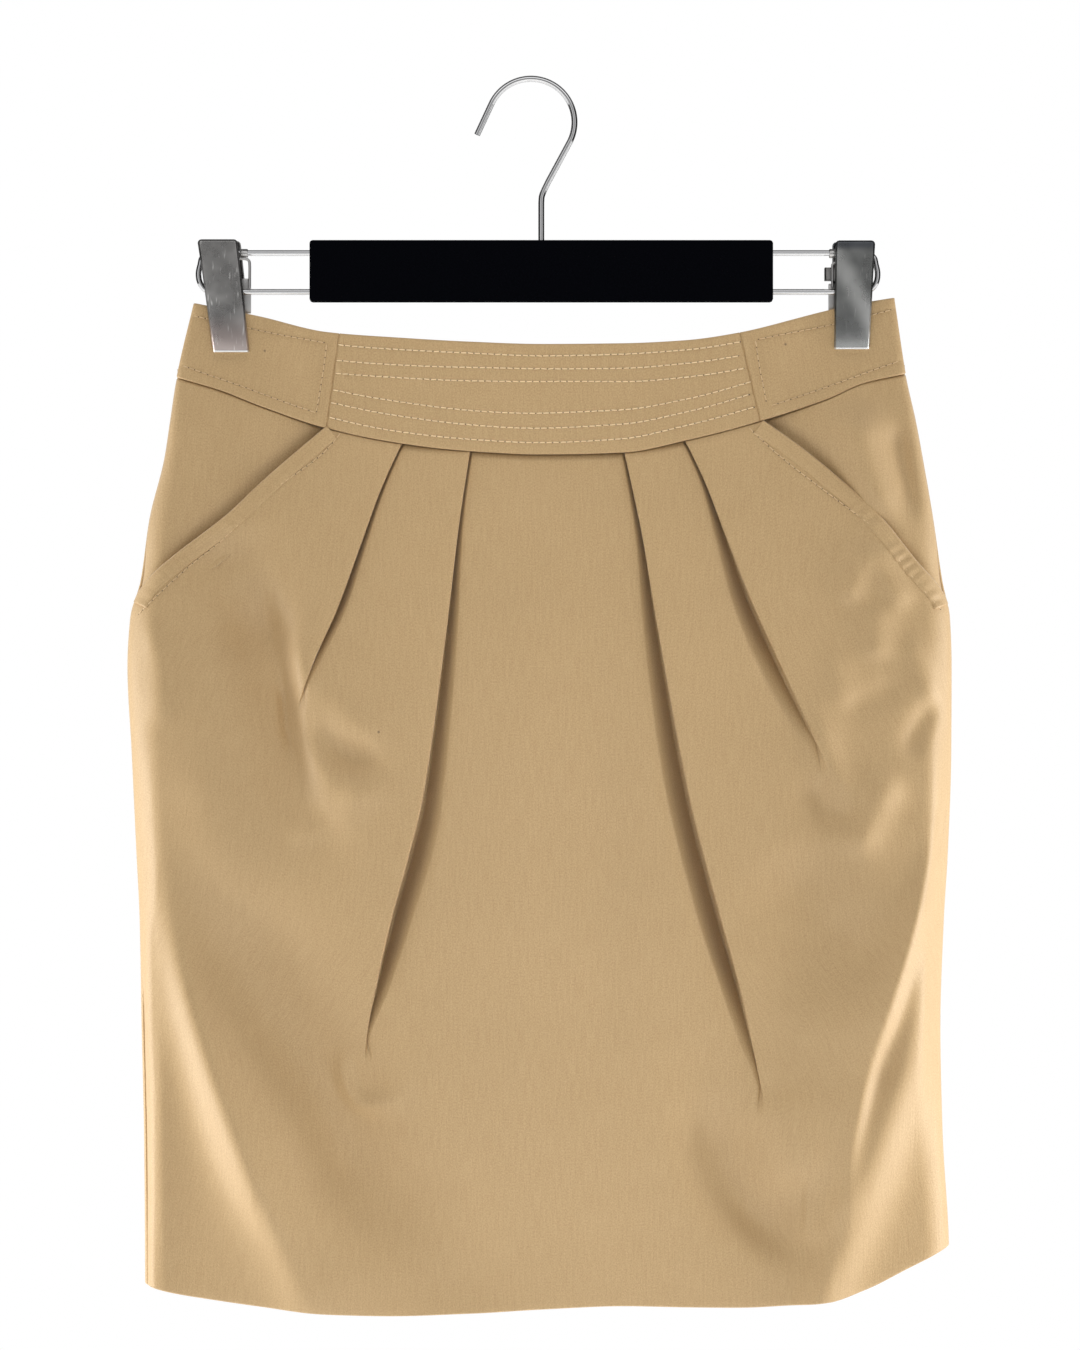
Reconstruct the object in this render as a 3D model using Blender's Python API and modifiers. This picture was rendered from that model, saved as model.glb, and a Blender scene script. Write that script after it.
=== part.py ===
"""Pleated tulip skirt hung by its two corners on a clip hanger.

Metres in the model, millimetres in the tables. +X is the right of the picture, -Y the front, +Z up.
The origin is where the hook bears on a rail, above the centre of the skirt.
"""
import math
from collections import namedtuple

import bmesh
import bpy
from mathutils import Matrix, Vector

MM = 0.001

# ---------------------------------------------------------------- driving sizes, millimetres
CLOTH = 1.0                 # wall of the skirt panels
BAND_WALL = 1.8             # wall of the faced waistband
SEAM_GAP = 0.4              # between panels along a seam
SIDE_GAP = 0.28             # from the side plane to the end of each wall

FOLD_RADIUS = 0.8           # pleat fold, to the middle of the wall
UNDERLAY_DROP = 3.4         # how far the underlay lies behind the fold edge where the pleat is shut
MOUTH_DEPTH = 0.9           # extra drop of the underlay for each mm that the pleat gapes
CENTRE_SET_BACK = 1.2       # the centre side of a pleat lies this far behind its fold edge

CLIP_X = 166.5              # where the clips pinch the band, left and right of centre
PINCH_HALF_WIDTH = 13.0
PINCH_FADE = 13.0
PINCH_BOTTOM = -148.0
PINCH_RUN_OUT = 42.0
PINCHED = BAND_WALL / 2 + 0.15

HIP_SHOWN_OFFSET = 0.4      # the hip piece behind the panel's line, away from the pocket edge
HIP_UNDER_OFFSET = 2.7      # and under the pocket edge
HIP_UNDER_RUN = 22.5        # how far it runs on below the pocket edge
HIP_INNER_RUN = 18.0        # and inwards from the edge's upper end
POCKET_STEP = -268.0        # below this height the pocket edge stands out past the hip piece

BAR_LENGTH, BAR_HEIGHT, BAR_DEPTH = 251.0, 33.4, 10.0
BAR_TOP = -85.5
WIRE = 3.0                  # U-wires
HOOK_WIRE = 3.2
BORE_CLEARANCE = 0.45

# ---------------------------------------------------------------- tables, millimetres
# level: height; left, right: the side silhouettes; front, back: depth at the middle;
# roll: depth at the sides
Ring = namedtuple("Ring", "level left right front back roll")
RINGS = [
    Ring(-675, -214.7, 221.8, 28, 21, 12),
    Ring(-628, -214.9, 221.0, 30, 22, 12),
    Ring(-568, -215.4, 217.6, 33, 24, 13),
    Ring(-511, -216.7, 216.4, 35, 25, 14),
    Ring(-455, -217.7, 218.2, 36, 25, 14),
    Ring(-416, -219.6, 220.5, 35, 25, 14),
    Ring(-363, -222.1, 222.3, 33, 23, 14),
    Ring(-316, -224.4, 222.5, 29, 21, 13),
    Ring(-290, -222.9, 221.6, 26, 19, 12),
    Ring(-270, -217.4, 217.6, 23, 18, 11),
    Ring(-236, -212.5, 212.6, 19, 15, 9),
    Ring(-204, -204.6, 207.1, 14, 12, 6),
    Ring(-183, -201.4, 203.2, 12, 10, 4.5),
    Ring(-160, -197.9, 198.1, 10, 8.5, 3.2),
    Ring(-118, -188.2, 191.7, 8.5, 7.5, 2.6),
]

# x across the front; top: band's upper edge; seam: band's lower edge; hem: the front hem
Across = namedtuple("Across", "x top seam hem")
ACROSS = [
    Across(-225, -113, -150.5, -646.5),
    Across(-198, -117.5, -159.8, -653.6),
    Across(-174, -122.3, -167.0, -657.2),
    Across(-152, -126.8, -175.7, -660.0),
    Across(-116, -135.5, -187.9, -663.6),
    Across(-77, -138.6, -196.0, -664.6),
    Across(-39, -140.8, -200.4, -663.4),
    Across(0, -142.1, -202.2, -660.8),
    Across(44, -141.7, -201.2, -659.0),
    Across(78, -140.0, -194.6, -659.8),
    Across(107, -135.8, -187.3, -660.2),
    Across(155, -123.5, -171.8, -656.9),
    Across(175, -119.2, -163.0, -651.0),
    Across(198, -115.6, -157.8, -640.0),
    Across(225, -112, -150.0, -627.0),
]

# round: distance from the centre, measured round the side; level: height of the pocket edge there
PocketRow = namedtuple("PocketRow", "round level")
POCKETS = {
    -1: [PocketRow(115, -186.5), PocketRow(149, -215.7), PocketRow(170, -235.5),
         PocketRow(197, -256.2), PocketRow(219, -275.0), PocketRow(245, -300.0)],
    1: [PocketRow(119, -183.5), PocketRow(138.5, -197.3), PocketRow(160, -214.7),
        PocketRow(183, -236.0), PocketRow(205, -263.0), PocketRow(219, -276.5), PocketRow(245, -300.0)],
}

# level; edge: fold edge from the centre; mouth: how wide the pleat gapes; under: how deep the fabric is
# folded under; turn: degrees that each fold turns through, 180 where it is folded flat and 0 past its end
PleatRow = namedtuple("PleatRow", "level edge mouth under turn")
PLEATS = {
    "inner_left": (-1, [
        PleatRow(-195, 38.0, 0.8, 14, 180), PleatRow(-238, 44.4, 1.4, 14, 180),
        PleatRow(-301, 51.8, 3.8, 13, 180), PleatRow(-389, 64.2, 6.5, 12, 180),
        PleatRow(-416, 70.8, 7.4, 11, 180), PleatRow(-458, 81.8, 6.5, 9, 180),
        PleatRow(-497, 91.0, 4.3, 6, 165), PleatRow(-530, 96.0, 3.0, 3, 80),
        PleatRow(-560, 98.0, 5.0, 4, 20), PleatRow(-600, 103.0, 8.0, 6, 0),
        PleatRow(-670, 112.0, 12.0, 9, 0)]),
    "inner_right": (1, [
        PleatRow(-195, 44.0, 0.8, 14, 180), PleatRow(-246, 54.7, 2.2, 14, 180),
        PleatRow(-294, 62.6, 4.3, 13, 180), PleatRow(-389, 80.3, 6.8, 12, 180),
        PleatRow(-444, 94.4, 6.5, 10, 180), PleatRow(-490, 107.0, 4.8, 7, 175),
        PleatRow(-519, 113.5, 3.4, 4, 130), PleatRow(-543, 118.0, 3.0, 3, 70),
        PleatRow(-572, 122.0, 5.0, 4, 15), PleatRow(-610, 126.0, 8.0, 6, 0),
        PleatRow(-670, 131.0, 12.0, 9, 0)]),
    "outer_left": (-1, [
        PleatRow(-190, 73.0, 0.8, 12, 180), PleatRow(-221, 86.9, 1.2, 12, 180),
        PleatRow(-252, 98.0, 1.8, 10, 180), PleatRow(-287, 110.8, 2.7, 7, 175),
        PleatRow(-323, 126.7, 2.2, 3, 100), PleatRow(-350, 133.0, 4.0, 3, 30),
        PleatRow(-400, 142.0, 7.0, 6, 0), PleatRow(-520, 152.0, 9.0, 8, 0),
        PleatRow(-670, 160.0, 12.0, 9, 0)]),
    "outer_right": (1, [
        PleatRow(-190, 76.0, 0.8, 12, 180), PleatRow(-216, 88.3, 1.2, 12, 180),
        PleatRow(-244, 99.0, 2.7, 11, 180), PleatRow(-283, 114.2, 4.3, 8, 175),
        PleatRow(-323, 132.5, 4.6, 4, 115), PleatRow(-362, 150.7, 4.0, 3, 30),
        PleatRow(-410, 158.0, 7.0, 6, 0), PleatRow(-520, 164.0, 9.0, 8, 0),
        PleatRow(-670, 168.0, 12.0, 9, 0)]),
}

# the largest folds of the front: height above the panel, minus for a trough; spread across; points along it
Fold = namedtuple("Fold", "height spread path")
FOLDS = {
    "left_pouch": Fold(-6, 12, [(-160, -262), (-158, -315), (-150, -365), (-130, -398), (-104, -374)]),
    "left_pouch_lip": Fold(4, 8, [(-141, -300), (-139, -340), (-133, -372)]),
    "left_long_trough": Fold(-7, 16, [(-196, -416), (-167, -464), (-143, -520), (-110, -565), (-72, -640)]),
    "left_long_ridge": Fold(6, 15, [(-214, -400), (-197, -505), (-174, -560), (-150, -606), (-134, -650)]),
    "right_long_ridge": Fold(8, 10, [(214, -390), (200, -460), (187, -512), (174, -555), (162, -600)]),
    "right_low_ridge": Fold(6, 10, [(212, -500), (199, -540), (186, -585), (172, -640)]),
    "right_pouch": Fold(-8, 14, [(119, -545), (131, -590), (138, -615), (128, -625)]),
    "right_pouch_lip": Fold(5, 13, [(72, -555), (94, -605), (122, -650)]),
    "right_side_trough": Fold(-5, 12, [(196, -345), (188, -400), (176, -450)]),
}

# x of the cuts between the centre band and the side bands, at the top and at the bottom
BandCut = namedtuple("BandCut", "top bottom")
BAND_CUTS = {-1: BandCut(-109.2, -116.1), 1: BandCut(107.3, 118.2)}

# rows of the panels, as a share of the way from the band seam to the hem
FRONT_ROWS = [0, 0.025, 0.06, 0.1, 0.145, 0.19, 0.235, 0.285, 0.35,
              0.42, 0.5, 0.58, 0.65, 0.71, 0.77, 0.84, 0.92, 1]
HIP_ROWS, HIP_FLAT_STEPS, HIP_ROLL_STEPS = 7, 5, 5
BACK_ROWS, BACK_FLAT_STEPS, BACK_ROLL_STEPS = 11, 10, 5
BACK_HEM_RISE = 4.0         # the back hem hangs this much higher at the centre than the front
BACK_TOP_DROP = 3.0         # and its band dips this much lower
BAND_ROWS, BAND_ROLL_STEPS = 3, 6
CENTRE_STEPS, BETWEEN_STEPS = 3, 4
OUTER_FLAT_STEPS, OUTER_ROLL_STEPS = 7, 5
HALF_WIDTH = 222.0          # about where the side is, for finding a row's height there
RELIEF_FADE = 12.0          # the folds fade out over this width at the side
STEP_FADE = 26.0            # the hip piece steps back over this height under the pocket edge
STEP_START = 32.0
RISE_LEAST, RISE_A_MOUTH = 2.2, 0.9     # width of the rise from the underlay to the centre side
PAST_A_MOUTH = 0.3          # how far the underlay runs on past the fold edge, for each mm of mouth

Finish = namedtuple("Finish", "colour roughness metallic")
FINISHES = {
    "cloth": Finish((0.53, 0.37, 0.20), 0.75, 0.0),
    "zip": Finish((0.50, 0.35, 0.19), 0.5, 0.0),
    "flock": Finish((0.004, 0.004, 0.007), 0.9, 0.0),
    "steel": Finish((0.60, 0.60, 0.60), 0.25, 1.0),
}


# ---------------------------------------------------------------- reading the tables
def smooth_step(share):
    share = min(max(share, 0.0), 1.0)
    return share * share * (3 - 2 * share)


def mix(start, end, share):
    return start + (end - start) * share


def read(rows, key, column, at):
    """Read a column of a table at a value of its key, as a smooth line that doesn't overshoot."""
    rows = sorted(rows, key=lambda row: getattr(row, key))
    keys = [getattr(row, key) for row in rows]
    values = [getattr(row, column) for row in rows]
    at = min(max(at, keys[0]), keys[-1])
    place = next((i for i in range(len(keys) - 2) if at <= keys[i + 1]), len(keys) - 2)
    rises = [(values[i + 1] - values[i]) / (keys[i + 1] - keys[i]) for i in range(len(keys) - 1)]

    def slope(i):
        if i in (0, len(keys) - 1):
            return rises[0] if i == 0 else rises[-1]
        before, after = rises[i - 1], rises[i]
        return 2 * before * after / (before + after) if before * after > 0 else 0.0

    width = keys[place + 1] - keys[place]
    t = (at - keys[place]) / width
    return (values[place] * (1 + 2 * t) * (1 - t) ** 2 + slope(place) * width * t * (1 - t) ** 2
            + values[place + 1] * t * t * (3 - 2 * t) + slope(place + 1) * width * t * t * (t - 1))


def side(level, sign, wall=CLOTH):
    """Distance from the centre to the middle of the wall at the side, at a height."""
    return abs(read(RINGS, "level", "left" if sign < 0 else "right", level)) - wall / 2


def seam_level(x):
    return read(ACROSS, "x", "seam", x)


def half_depth(x, level, column):
    """How far the front or the back stands from the side plane, pinched together at the clips."""
    roll = read(RINGS, "level", "roll", level)
    middle = read(RINGS, "level", column, level)
    free = roll + (middle - roll) * (1 - min(abs(x) / side(level, 1 if x > 0 else -1), 1.0) ** 2)
    across = 1 - smooth_step((abs(abs(x) - CLIP_X) - PINCH_HALF_WIDTH) / PINCH_FADE)
    down = 1 - smooth_step((PINCH_BOTTOM - level) / PINCH_RUN_OUT)
    return mix(free, PINCHED, across * down)


def roll_width(level):
    return read(RINGS, "level", "roll", level) * 1.15


def round_length(level, sign, wall=CLOTH):
    """Distance from the centre to the side seam, measured round the rolled side."""
    roll = roll_width(level)
    return side(level, sign, wall) - roll + roll * math.pi / 2 - SIDE_GAP


def place_round(distance, level, sign, column, wall=CLOTH, inset=0.0):
    """Point at a distance round from the centre, moved in from the panel's line by the inset."""
    roll = roll_width(level)
    flat = side(level, sign, wall) - roll
    if distance <= flat:
        x, share = distance, 1.0
    else:
        angle = min((distance - flat) / roll, math.pi / 2)
        x, share = flat + (roll - inset) * math.sin(angle), math.cos(angle)
    depth = (half_depth(sign * x, level, column) - inset) * share
    return sign * x, max(depth, SIDE_GAP)


def round_stations(start, end, level, sign, flat_steps, roll_steps, wall=CLOTH):
    """Distances round from the centre, closer together where the side rolls over."""
    knee = side(level, sign, wall) - roll_width(level)
    if end < knee + 2:
        knee = mix(start, end, 0.93)
    flat = [mix(start, knee, step / flat_steps) for step in range(flat_steps)]
    return flat + [mix(knee, end, step / roll_steps) for step in range(roll_steps + 1)]


def distance_to_path(x, level, path):
    """Distance from a point to a bent line, and how far along the line the nearest place is."""
    total = sum(math.dist(path[i], path[i + 1]) for i in range(len(path) - 1))
    best, along, run = 1e9, 0.0, 0.0
    for start, end in zip(path, path[1:]):
        length = math.dist(start, end)
        ahead = (x - start[0]) * (end[0] - start[0]) + (level - start[1]) * (end[1] - start[1])
        share = min(max(ahead / length ** 2, 0.0), 1.0)
        apart = math.dist((x, level), (mix(start[0], end[0], share), mix(start[1], end[1], share)))
        if apart < best:
            best, along = apart, (run + share * length) / total
        run += length
    return best, along


def fold_relief(x, level):
    """How far the folds lift the front panel at a place."""
    relief = 0.0
    for fold in FOLDS.values():
        apart, along = distance_to_path(x, level, fold.path)
        taper = smooth_step(along / 0.3) * smooth_step((1 - along) / 0.3) * 0.8 + 0.2
        relief += fold.height * taper * math.exp(-(apart / fold.spread) ** 2)
    return relief


# ---------------------------------------------------------------- cloth
def sheet(name, rows, wall, finish, flip=False):
    """A grid of points, row by row in millimetres, as a wall of even thickness."""
    mesh = bpy.data.meshes.new(name)
    grid = bmesh.new()
    columns = len(rows[0]) - 1
    bmesh.ops.create_grid(grid, x_segments=columns, y_segments=len(rows) - 1, size=0.5)
    for vertex in grid.verts:
        column = round((vertex.co.x + 0.5) * columns)
        row = round((vertex.co.y + 0.5) * (len(rows) - 1))
        vertex.co = Vector(rows[row][column]) * MM
    if flip:
        bmesh.ops.reverse_faces(grid, faces=grid.faces)
    grid.to_mesh(mesh)
    grid.free()
    piece = add_piece(name, mesh, finish)
    solid = piece.modifiers.new("wall", "SOLIDIFY")
    solid.thickness = wall * MM
    solid.offset = 0
    return piece


def pleat_section(row):
    """Points of one pleat from its fold edge to its centre side: (outward, deeper) in millimetres.

    The cloth comes from outside, turns under at the fold edge, runs back, turns again and passes behind
    the fold edge as the underlay, then rises to the centre side.
    """
    turn = math.radians(row.turn)
    folded = row.turn / 180
    fold_length = math.pi * FOLD_RADIUS
    outward, deeper, heading = FOLD_RADIUS, 0.0, 0.0
    points = []

    def go(length, turned, steps):
        nonlocal outward, deeper, heading
        for _ in range(steps):
            heading += turned / steps / 2
            outward -= math.cos(heading) * length / steps
            deeper += math.sin(heading) * length / steps
            heading += turned / steps / 2
            points.append((outward, deeper))

    go(fold_length, turn, 3)
    go(row.under, 0.0, 1)
    target = (UNDERLAY_DROP + MOUTH_DEPTH * row.mouth) * folded
    run = max(row.under * folded + FOLD_RADIUS, 2.0)
    dive = math.atan2(max(target - 4 * FOLD_RADIUS, 0.0), run) * folded
    go(fold_length, dive - turn, 3)
    past = -PAST_A_MOUTH * row.mouth
    go(max((outward - past) / math.cos(dive), 2.0), 0.0, 1)
    rise = RISE_A_MOUTH * row.mouth + RISE_LEAST
    start_out, start_deep = outward, deeper
    for share in (0.35, 0.7, 1.0):
        points.append((start_out - rise * share,
                       mix(start_deep, CENTRE_SET_BACK * folded, smooth_step(share))))
    return points


def pleat_at(name, share):
    """The pleat's row of sizes where it crosses a row of the front panel."""
    sign, rows = PLEATS[name]
    edge = rows[0].edge
    for _ in range(4):
        level = row_level(sign * edge, share)
        edge = read(rows, "level", "edge", level)
    return PleatRow(level, *(read(rows, "level", column, level) for column in PleatRow._fields[1:]))


def row_level(x, share):
    """Height of a row of the front panel: it runs from the band seam to the hem."""
    top = seam_level(x) - SEAM_GAP / 2
    return mix(top, read(ACROSS, "x", "hem", x), share)


def front_outer_end(share, sign):
    """Where a row of the front panel stops: at the pocket edge, or below it at the side seam."""
    near, far = POCKETS[sign][0].round - 4, round_length(row_level(sign * HALF_WIDTH, share), sign)

    def above_pocket_edge(distance):
        level = read(POCKETS[sign], "round", "level", distance)
        x, _ = place_round(distance, level, sign, "front")
        return row_level(x, share) > level

    if not above_pocket_edge(far):
        return far
    for _ in range(30):
        middle = (near + far) / 2
        near, far = (near, middle) if above_pocket_edge(middle) else (middle, far)
    return near


def front_half_row(share, sign):
    """Points of half a row, from the centre out, as (x, y, z)."""
    names = ("inner_left", "outer_left") if sign < 0 else ("inner_right", "outer_right")
    points = []
    start, start_back = 0.0, None
    for name, steps in zip(names, (CENTRE_STEPS, BETWEEN_STEPS)):
        row = pleat_at(name, share)
        section = pleat_section(row)
        lip_out, lip_back = section[-1]
        lip = row.edge + lip_out
        start_back = lip_back if start_back is None else start_back
        for step in range(0 if start == 0.0 else 1, steps):
            part = step / steps
            points.append((mix(start, lip, part), mix(start_back, lip_back, part)))
        points += [(row.edge + outward, deeper) for outward, deeper in reversed(section)]
        points.append((row.edge + FOLD_RADIUS, 0.0))
        start, start_back = row.edge + FOLD_RADIUS, 0.0
    placed = [to_front(sign * x, row_level(sign * x, share), deeper) for x, deeper in points]
    end = front_outer_end(share, sign)
    at_side = row_level(sign * HALF_WIDTH, share)
    for distance in round_stations(start, end, at_side, sign, OUTER_FLAT_STEPS, OUTER_ROLL_STEPS)[1:]:
        level = row_level(sign * distance, share)
        x, depth = place_round(distance, level, sign, "front")
        level = row_level(x, share)
        x, depth = place_round(distance, level, sign, "front")
        lift = fold_relief(x, level) * smooth_step((side(level, sign) - abs(x)) / RELIEF_FADE)
        placed.append((x, -depth - lift * (1 if depth > SIDE_GAP else 0), level))
    return placed


def to_front(x, level, deeper):
    return x, -half_depth(x, level, "front") + deeper - fold_relief(x, level), level


def front_panel():
    rows = []
    for share in FRONT_ROWS:
        left = front_half_row(share, -1)
        right = front_half_row(share, 1)
        rows.append(left[:0:-1] + right)
    return sheet("front_panel", rows, CLOTH, "cloth")


def hip_piece(sign, name):
    """The piece that shows in the pocket opening, run on under the pocket edge."""
    start = POCKETS[sign][0].round - HIP_INNER_RUN
    rows = [[] for _ in range(HIP_ROWS + 1)]
    for i in range(HIP_FLAT_STEPS + HIP_ROLL_STEPS + 1):
        for j, row in enumerate(rows):
            level = -200.0
            for _ in range(5):
                full = round_length(level, sign)
                distance = round_stations(start, full, level, sign, HIP_FLAT_STEPS, HIP_ROLL_STEPS)[i]
                edge_level = read(POCKETS[sign], "round", "level", distance)
                top = seam_level(sign * min(distance, side(level, sign))) - SEAM_GAP / 2
                level = mix(top, edge_level - HIP_UNDER_RUN, j / HIP_ROWS)
            under = smooth_step((edge_level + STEP_START - level) / STEP_FADE)
            step_in = max(side(level, sign) - side(POCKET_STEP, sign), 0) if level < POCKET_STEP else 0
            inset = mix(HIP_SHOWN_OFFSET, HIP_UNDER_OFFSET, under) + step_in
            x, depth = place_round(distance, level, sign, "front", inset=inset)
            row.append((x, -depth, level))
    return sheet(name, rows, CLOTH, "cloth", flip=sign < 0)


def back_panel(sign, name):
    rows = []
    flat, roll = BACK_FLAT_STEPS, BACK_ROLL_STEPS
    for j in range(BACK_ROWS + 1):
        share = j / BACK_ROWS
        row = []
        for i in range(flat + roll + 1):
            level = mix(seam_level(0), read(ACROSS, "x", "hem", 0), share)
            for _ in range(4):
                end = round_length(level, sign)
                distance = round_stations(SEAM_GAP / 2, end, level, sign, flat, roll)[i]
                x, depth = place_round(distance, level, sign, "back")
                hem = read(ACROSS, "x", "hem", x) + BACK_HEM_RISE * (1 - (x / 225) ** 2)
                level = mix(seam_level(x) - SEAM_GAP / 2, hem, share)
            row.append((x, depth, level))
        rows.append(row)
    return sheet(name, rows, CLOTH, "cloth", flip=sign > 0)


def band_piece(name, column, sign, inner, to_side, steps, other=None):
    """A stretch of the band, from a cut out to the side fold or on to a second cut."""
    rows = []
    for j in range(BAND_ROWS + 1):
        share = j / BAND_ROWS
        row = []
        for i in range(steps + 1 + (BAND_ROLL_STEPS if to_side else 0)):
            level = -150.0
            for _ in range(4):
                start = inner(share)
                if to_side:
                    end = round_length(level, sign, BAND_WALL)
                    stations = round_stations(start, end, level, sign, steps, BAND_ROLL_STEPS, BAND_WALL)
                    where = sign * stations[i]
                else:
                    where = mix(start, other(share), i / steps)
                here = -1 if where < 0 else 1
                x, depth = place_round(abs(where), level, here, column, wall=BAND_WALL)
                drop = BACK_TOP_DROP * (1 - (x / 190) ** 2) if column == "back" else 0.0
                level = mix(read(ACROSS, "x", "top", x) - drop, seam_level(x) + SEAM_GAP / 2, share)
            row.append((x, depth if column == "back" else -depth, level))
        rows.append(row)
    return sheet(name, rows, BAND_WALL, "cloth", flip=(sign > 0) == (column == "back"))


def bands():
    def cut_at(sign, gap):
        return lambda share: mix(BAND_CUTS[sign].top, BAND_CUTS[sign].bottom, share) + gap

    half = SEAM_GAP / 2
    band_piece("band_front_centre", "front", 1, cut_at(-1, half), False, 10, other=cut_at(1, -half))
    for sign, word in ((-1, "left"), (1, "right")):
        cut_line = cut_at(sign, sign * half)
        band_piece(f"band_side_{word}", "front", sign, lambda share: abs(cut_line(share)), True, 8)
        band_piece(f"band_back_{word}", "back", sign, lambda share: half, True, BACK_FLAT_STEPS)


# ---------------------------------------------------------------- zip
ZIP_TAPE_WIDTH, ZIP_TAPE_LENGTH, ZIP_TAPE_WALL = 26.0, 200.0, 0.9
SLIDER_SIZE = (5.0, 2.2, 8.4)
SLIDER_DROP = 9.0           # from the top of the band to the middle of the slider
BRIDGE_RADIUS, BRIDGE_WIRE = 2.4, 1.0
PULL_BAR = 1.0              # the pull's crossbar, round which it swings
PULL_EYE_WIDTH, PULL_EYE_LENGTH = 2.0, 4.0
PULL_WIDTH, PULL_LENGTH, PULL_THICK = 5.0, 17.0, 1.0


def zip_tape():
    """The tape lies against the inside of the centre-back seam, from the top of the band down."""
    top = read(ACROSS, "x", "top", 0) - BACK_TOP_DROP - 1.0
    rows = []
    for j in range(9):
        level = top - ZIP_TAPE_LENGTH * j / 8
        clear = ZIP_TAPE_WALL / 2 + 0.5 + mix(BAND_WALL, CLOTH, smooth_step((-196 - level) / 24)) / 2
        rows.append([(x, half_depth(x, level, "back") - clear, level)
                     for x in (-ZIP_TAPE_WIDTH / 2, 0.0, ZIP_TAPE_WIDTH / 2)])
    sheet("zip_tape", rows, ZIP_TAPE_WALL, "zip", flip=True)


def slider_place():
    level = read(ACROSS, "x", "top", 0) - BACK_TOP_DROP - SLIDER_DROP
    face = half_depth(0.0, level, "back") + BAND_WALL / 2 + 0.35 + SLIDER_SIZE[1]
    return level, face


def zip_slider():
    level, face = slider_place()
    body = box("zip_slider", SLIDER_SIZE, (0, face - SLIDER_SIZE[1] / 2, level), "steel", bevel=0.6)
    arch = [(0, face + BRIDGE_RADIUS * math.sin(math.radians(angle)),
             level + BRIDGE_RADIUS * math.cos(math.radians(angle))) for angle in range(0, 181, 20)]
    arch = [(0, face - 1.0, level + BRIDGE_RADIUS)] + arch + [(0, face - 1.0, level - BRIDGE_RADIUS)]
    bridge = wire_mesh("zip_bridge", arch, BRIDGE_WIRE)
    join = body.modifiers.new("bridge", "BOOLEAN")
    join.operation = "UNION"
    join.object = bridge
    return body


def zip_pull():
    """A flat tab with an eye round the slider's bridge. Its crossbar is the hinge."""
    level, face = slider_place()
    axis_y = face + BRIDGE_RADIUS - BRIDGE_WIRE / 2 - PULL_BAR / 2 - 0.35
    tab = box("zip_pull", (PULL_WIDTH, PULL_THICK, PULL_LENGTH),
              (0, axis_y, level - PULL_LENGTH / 2 + PULL_BAR / 2), "steel")
    corner = tab.modifiers.new("corners", "BEVEL")
    corner.width = 0.35 * MM
    corner.segments = 1
    eye = box("pull_eye", (PULL_EYE_WIDTH, PULL_THICK * 4, PULL_EYE_LENGTH),
              (0, axis_y, level - PULL_BAR / 2 - PULL_EYE_LENGTH / 2), None)
    cut(tab, eye)
    return tab


# ---------------------------------------------------------------- hanger
HOOK_CENTRE, HOOK_RADIUS = (-5.6, -21.4), 23.6
HOOK_ARC = (-27, 155)
HOOK_TIP = (-34.8, -28.2)
SHANK_BEND = -59.8
SHANK_IN_BAR = 9.0
WIRE_HIGH, WIRE_LOW = -92.3, -113.4
WIRE_ENDS = {-1: -184.9, 1: 181.4}
WIRE_CORNER = 6.0
WIRE_IN_BAR = 8.0
BORE_DEPTH = 8.6


def hanger_hook():
    path = [HOOK_TIP]
    for step in range(17):
        angle = math.radians(mix(HOOK_ARC[1], HOOK_ARC[0], step / 16))
        path.append((HOOK_CENTRE[0] + HOOK_RADIUS * math.cos(angle),
                     HOOK_CENTRE[1] + HOOK_RADIUS * math.sin(angle)))
    path += [(2.2, SHANK_BEND + 2.5), (0.5, SHANK_BEND - 0.8), (0, SHANK_BEND - 4)]
    path.append((0, BAR_TOP - SHANK_IN_BAR))
    wire("hanger_hook", [(x, 0, z) for x, z in path], HOOK_WIRE, "steel")


def hanger_wire(sign, name):
    end = WIRE_ENDS[sign]
    inner = sign * (BAR_LENGTH / 2 - WIRE_IN_BAR)
    corner = [(sign * WIRE_CORNER * (1 - math.sin(angle)), WIRE_CORNER * (1 - math.cos(angle)))
              for angle in (math.radians(90 * step / 4) for step in range(5))]
    path = [(inner, WIRE_HIGH)]
    path += [(end - back, WIRE_HIGH - drop) for back, drop in corner]
    path += [(end - back, WIRE_LOW + drop) for back, drop in reversed(corner)]
    path.append((inner, WIRE_LOW))
    wire(name, [(x, 0, z) for x, z in path], WIRE, "steel")


def hanger_bar():
    middle = BAR_TOP - BAR_HEIGHT / 2
    bar = box("hanger_bar", (BAR_LENGTH, BAR_DEPTH, BAR_HEIGHT), (0, 0, middle), "flock", bevel=1.6)
    cut(bar, bore("bore_hook", HOOK_WIRE, (0, 0, BAR_TOP), (0, 0, 1)))
    for sign, word in ((-1, "left"), (1, "right")):
        for level, place in ((WIRE_HIGH, "high"), (WIRE_LOW, "low")):
            cut(bar, bore(f"bore_{word}_{place}", WIRE, (sign * BAR_LENGTH / 2, 0, level), (sign, 0, 0)))


# top and tip: (x, z) of the front plate's middle line; drift: how far the back plate stands nearer the bar
Clip = namedtuple("Clip", "top tip top_width tip_width drift")
CLIPS = {
    -1: Clip((-175.0, -85.4), (-167.9, -146.2), 20.4, 18.6, 3.0),
    1: Clip((169.8, -86.0), (168.1, -144.6), 20.4, 18.0, -3.0),
}
PLATE = 0.9
PLATE_TOP_Y, PLATE_TIP_Y = 8.5, PINCHED + BAND_WALL / 2 + PLATE / 2 + 1.6
FLANGE = 4.0
BRACKET = (11.0, 9.0, 29.0)


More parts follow.
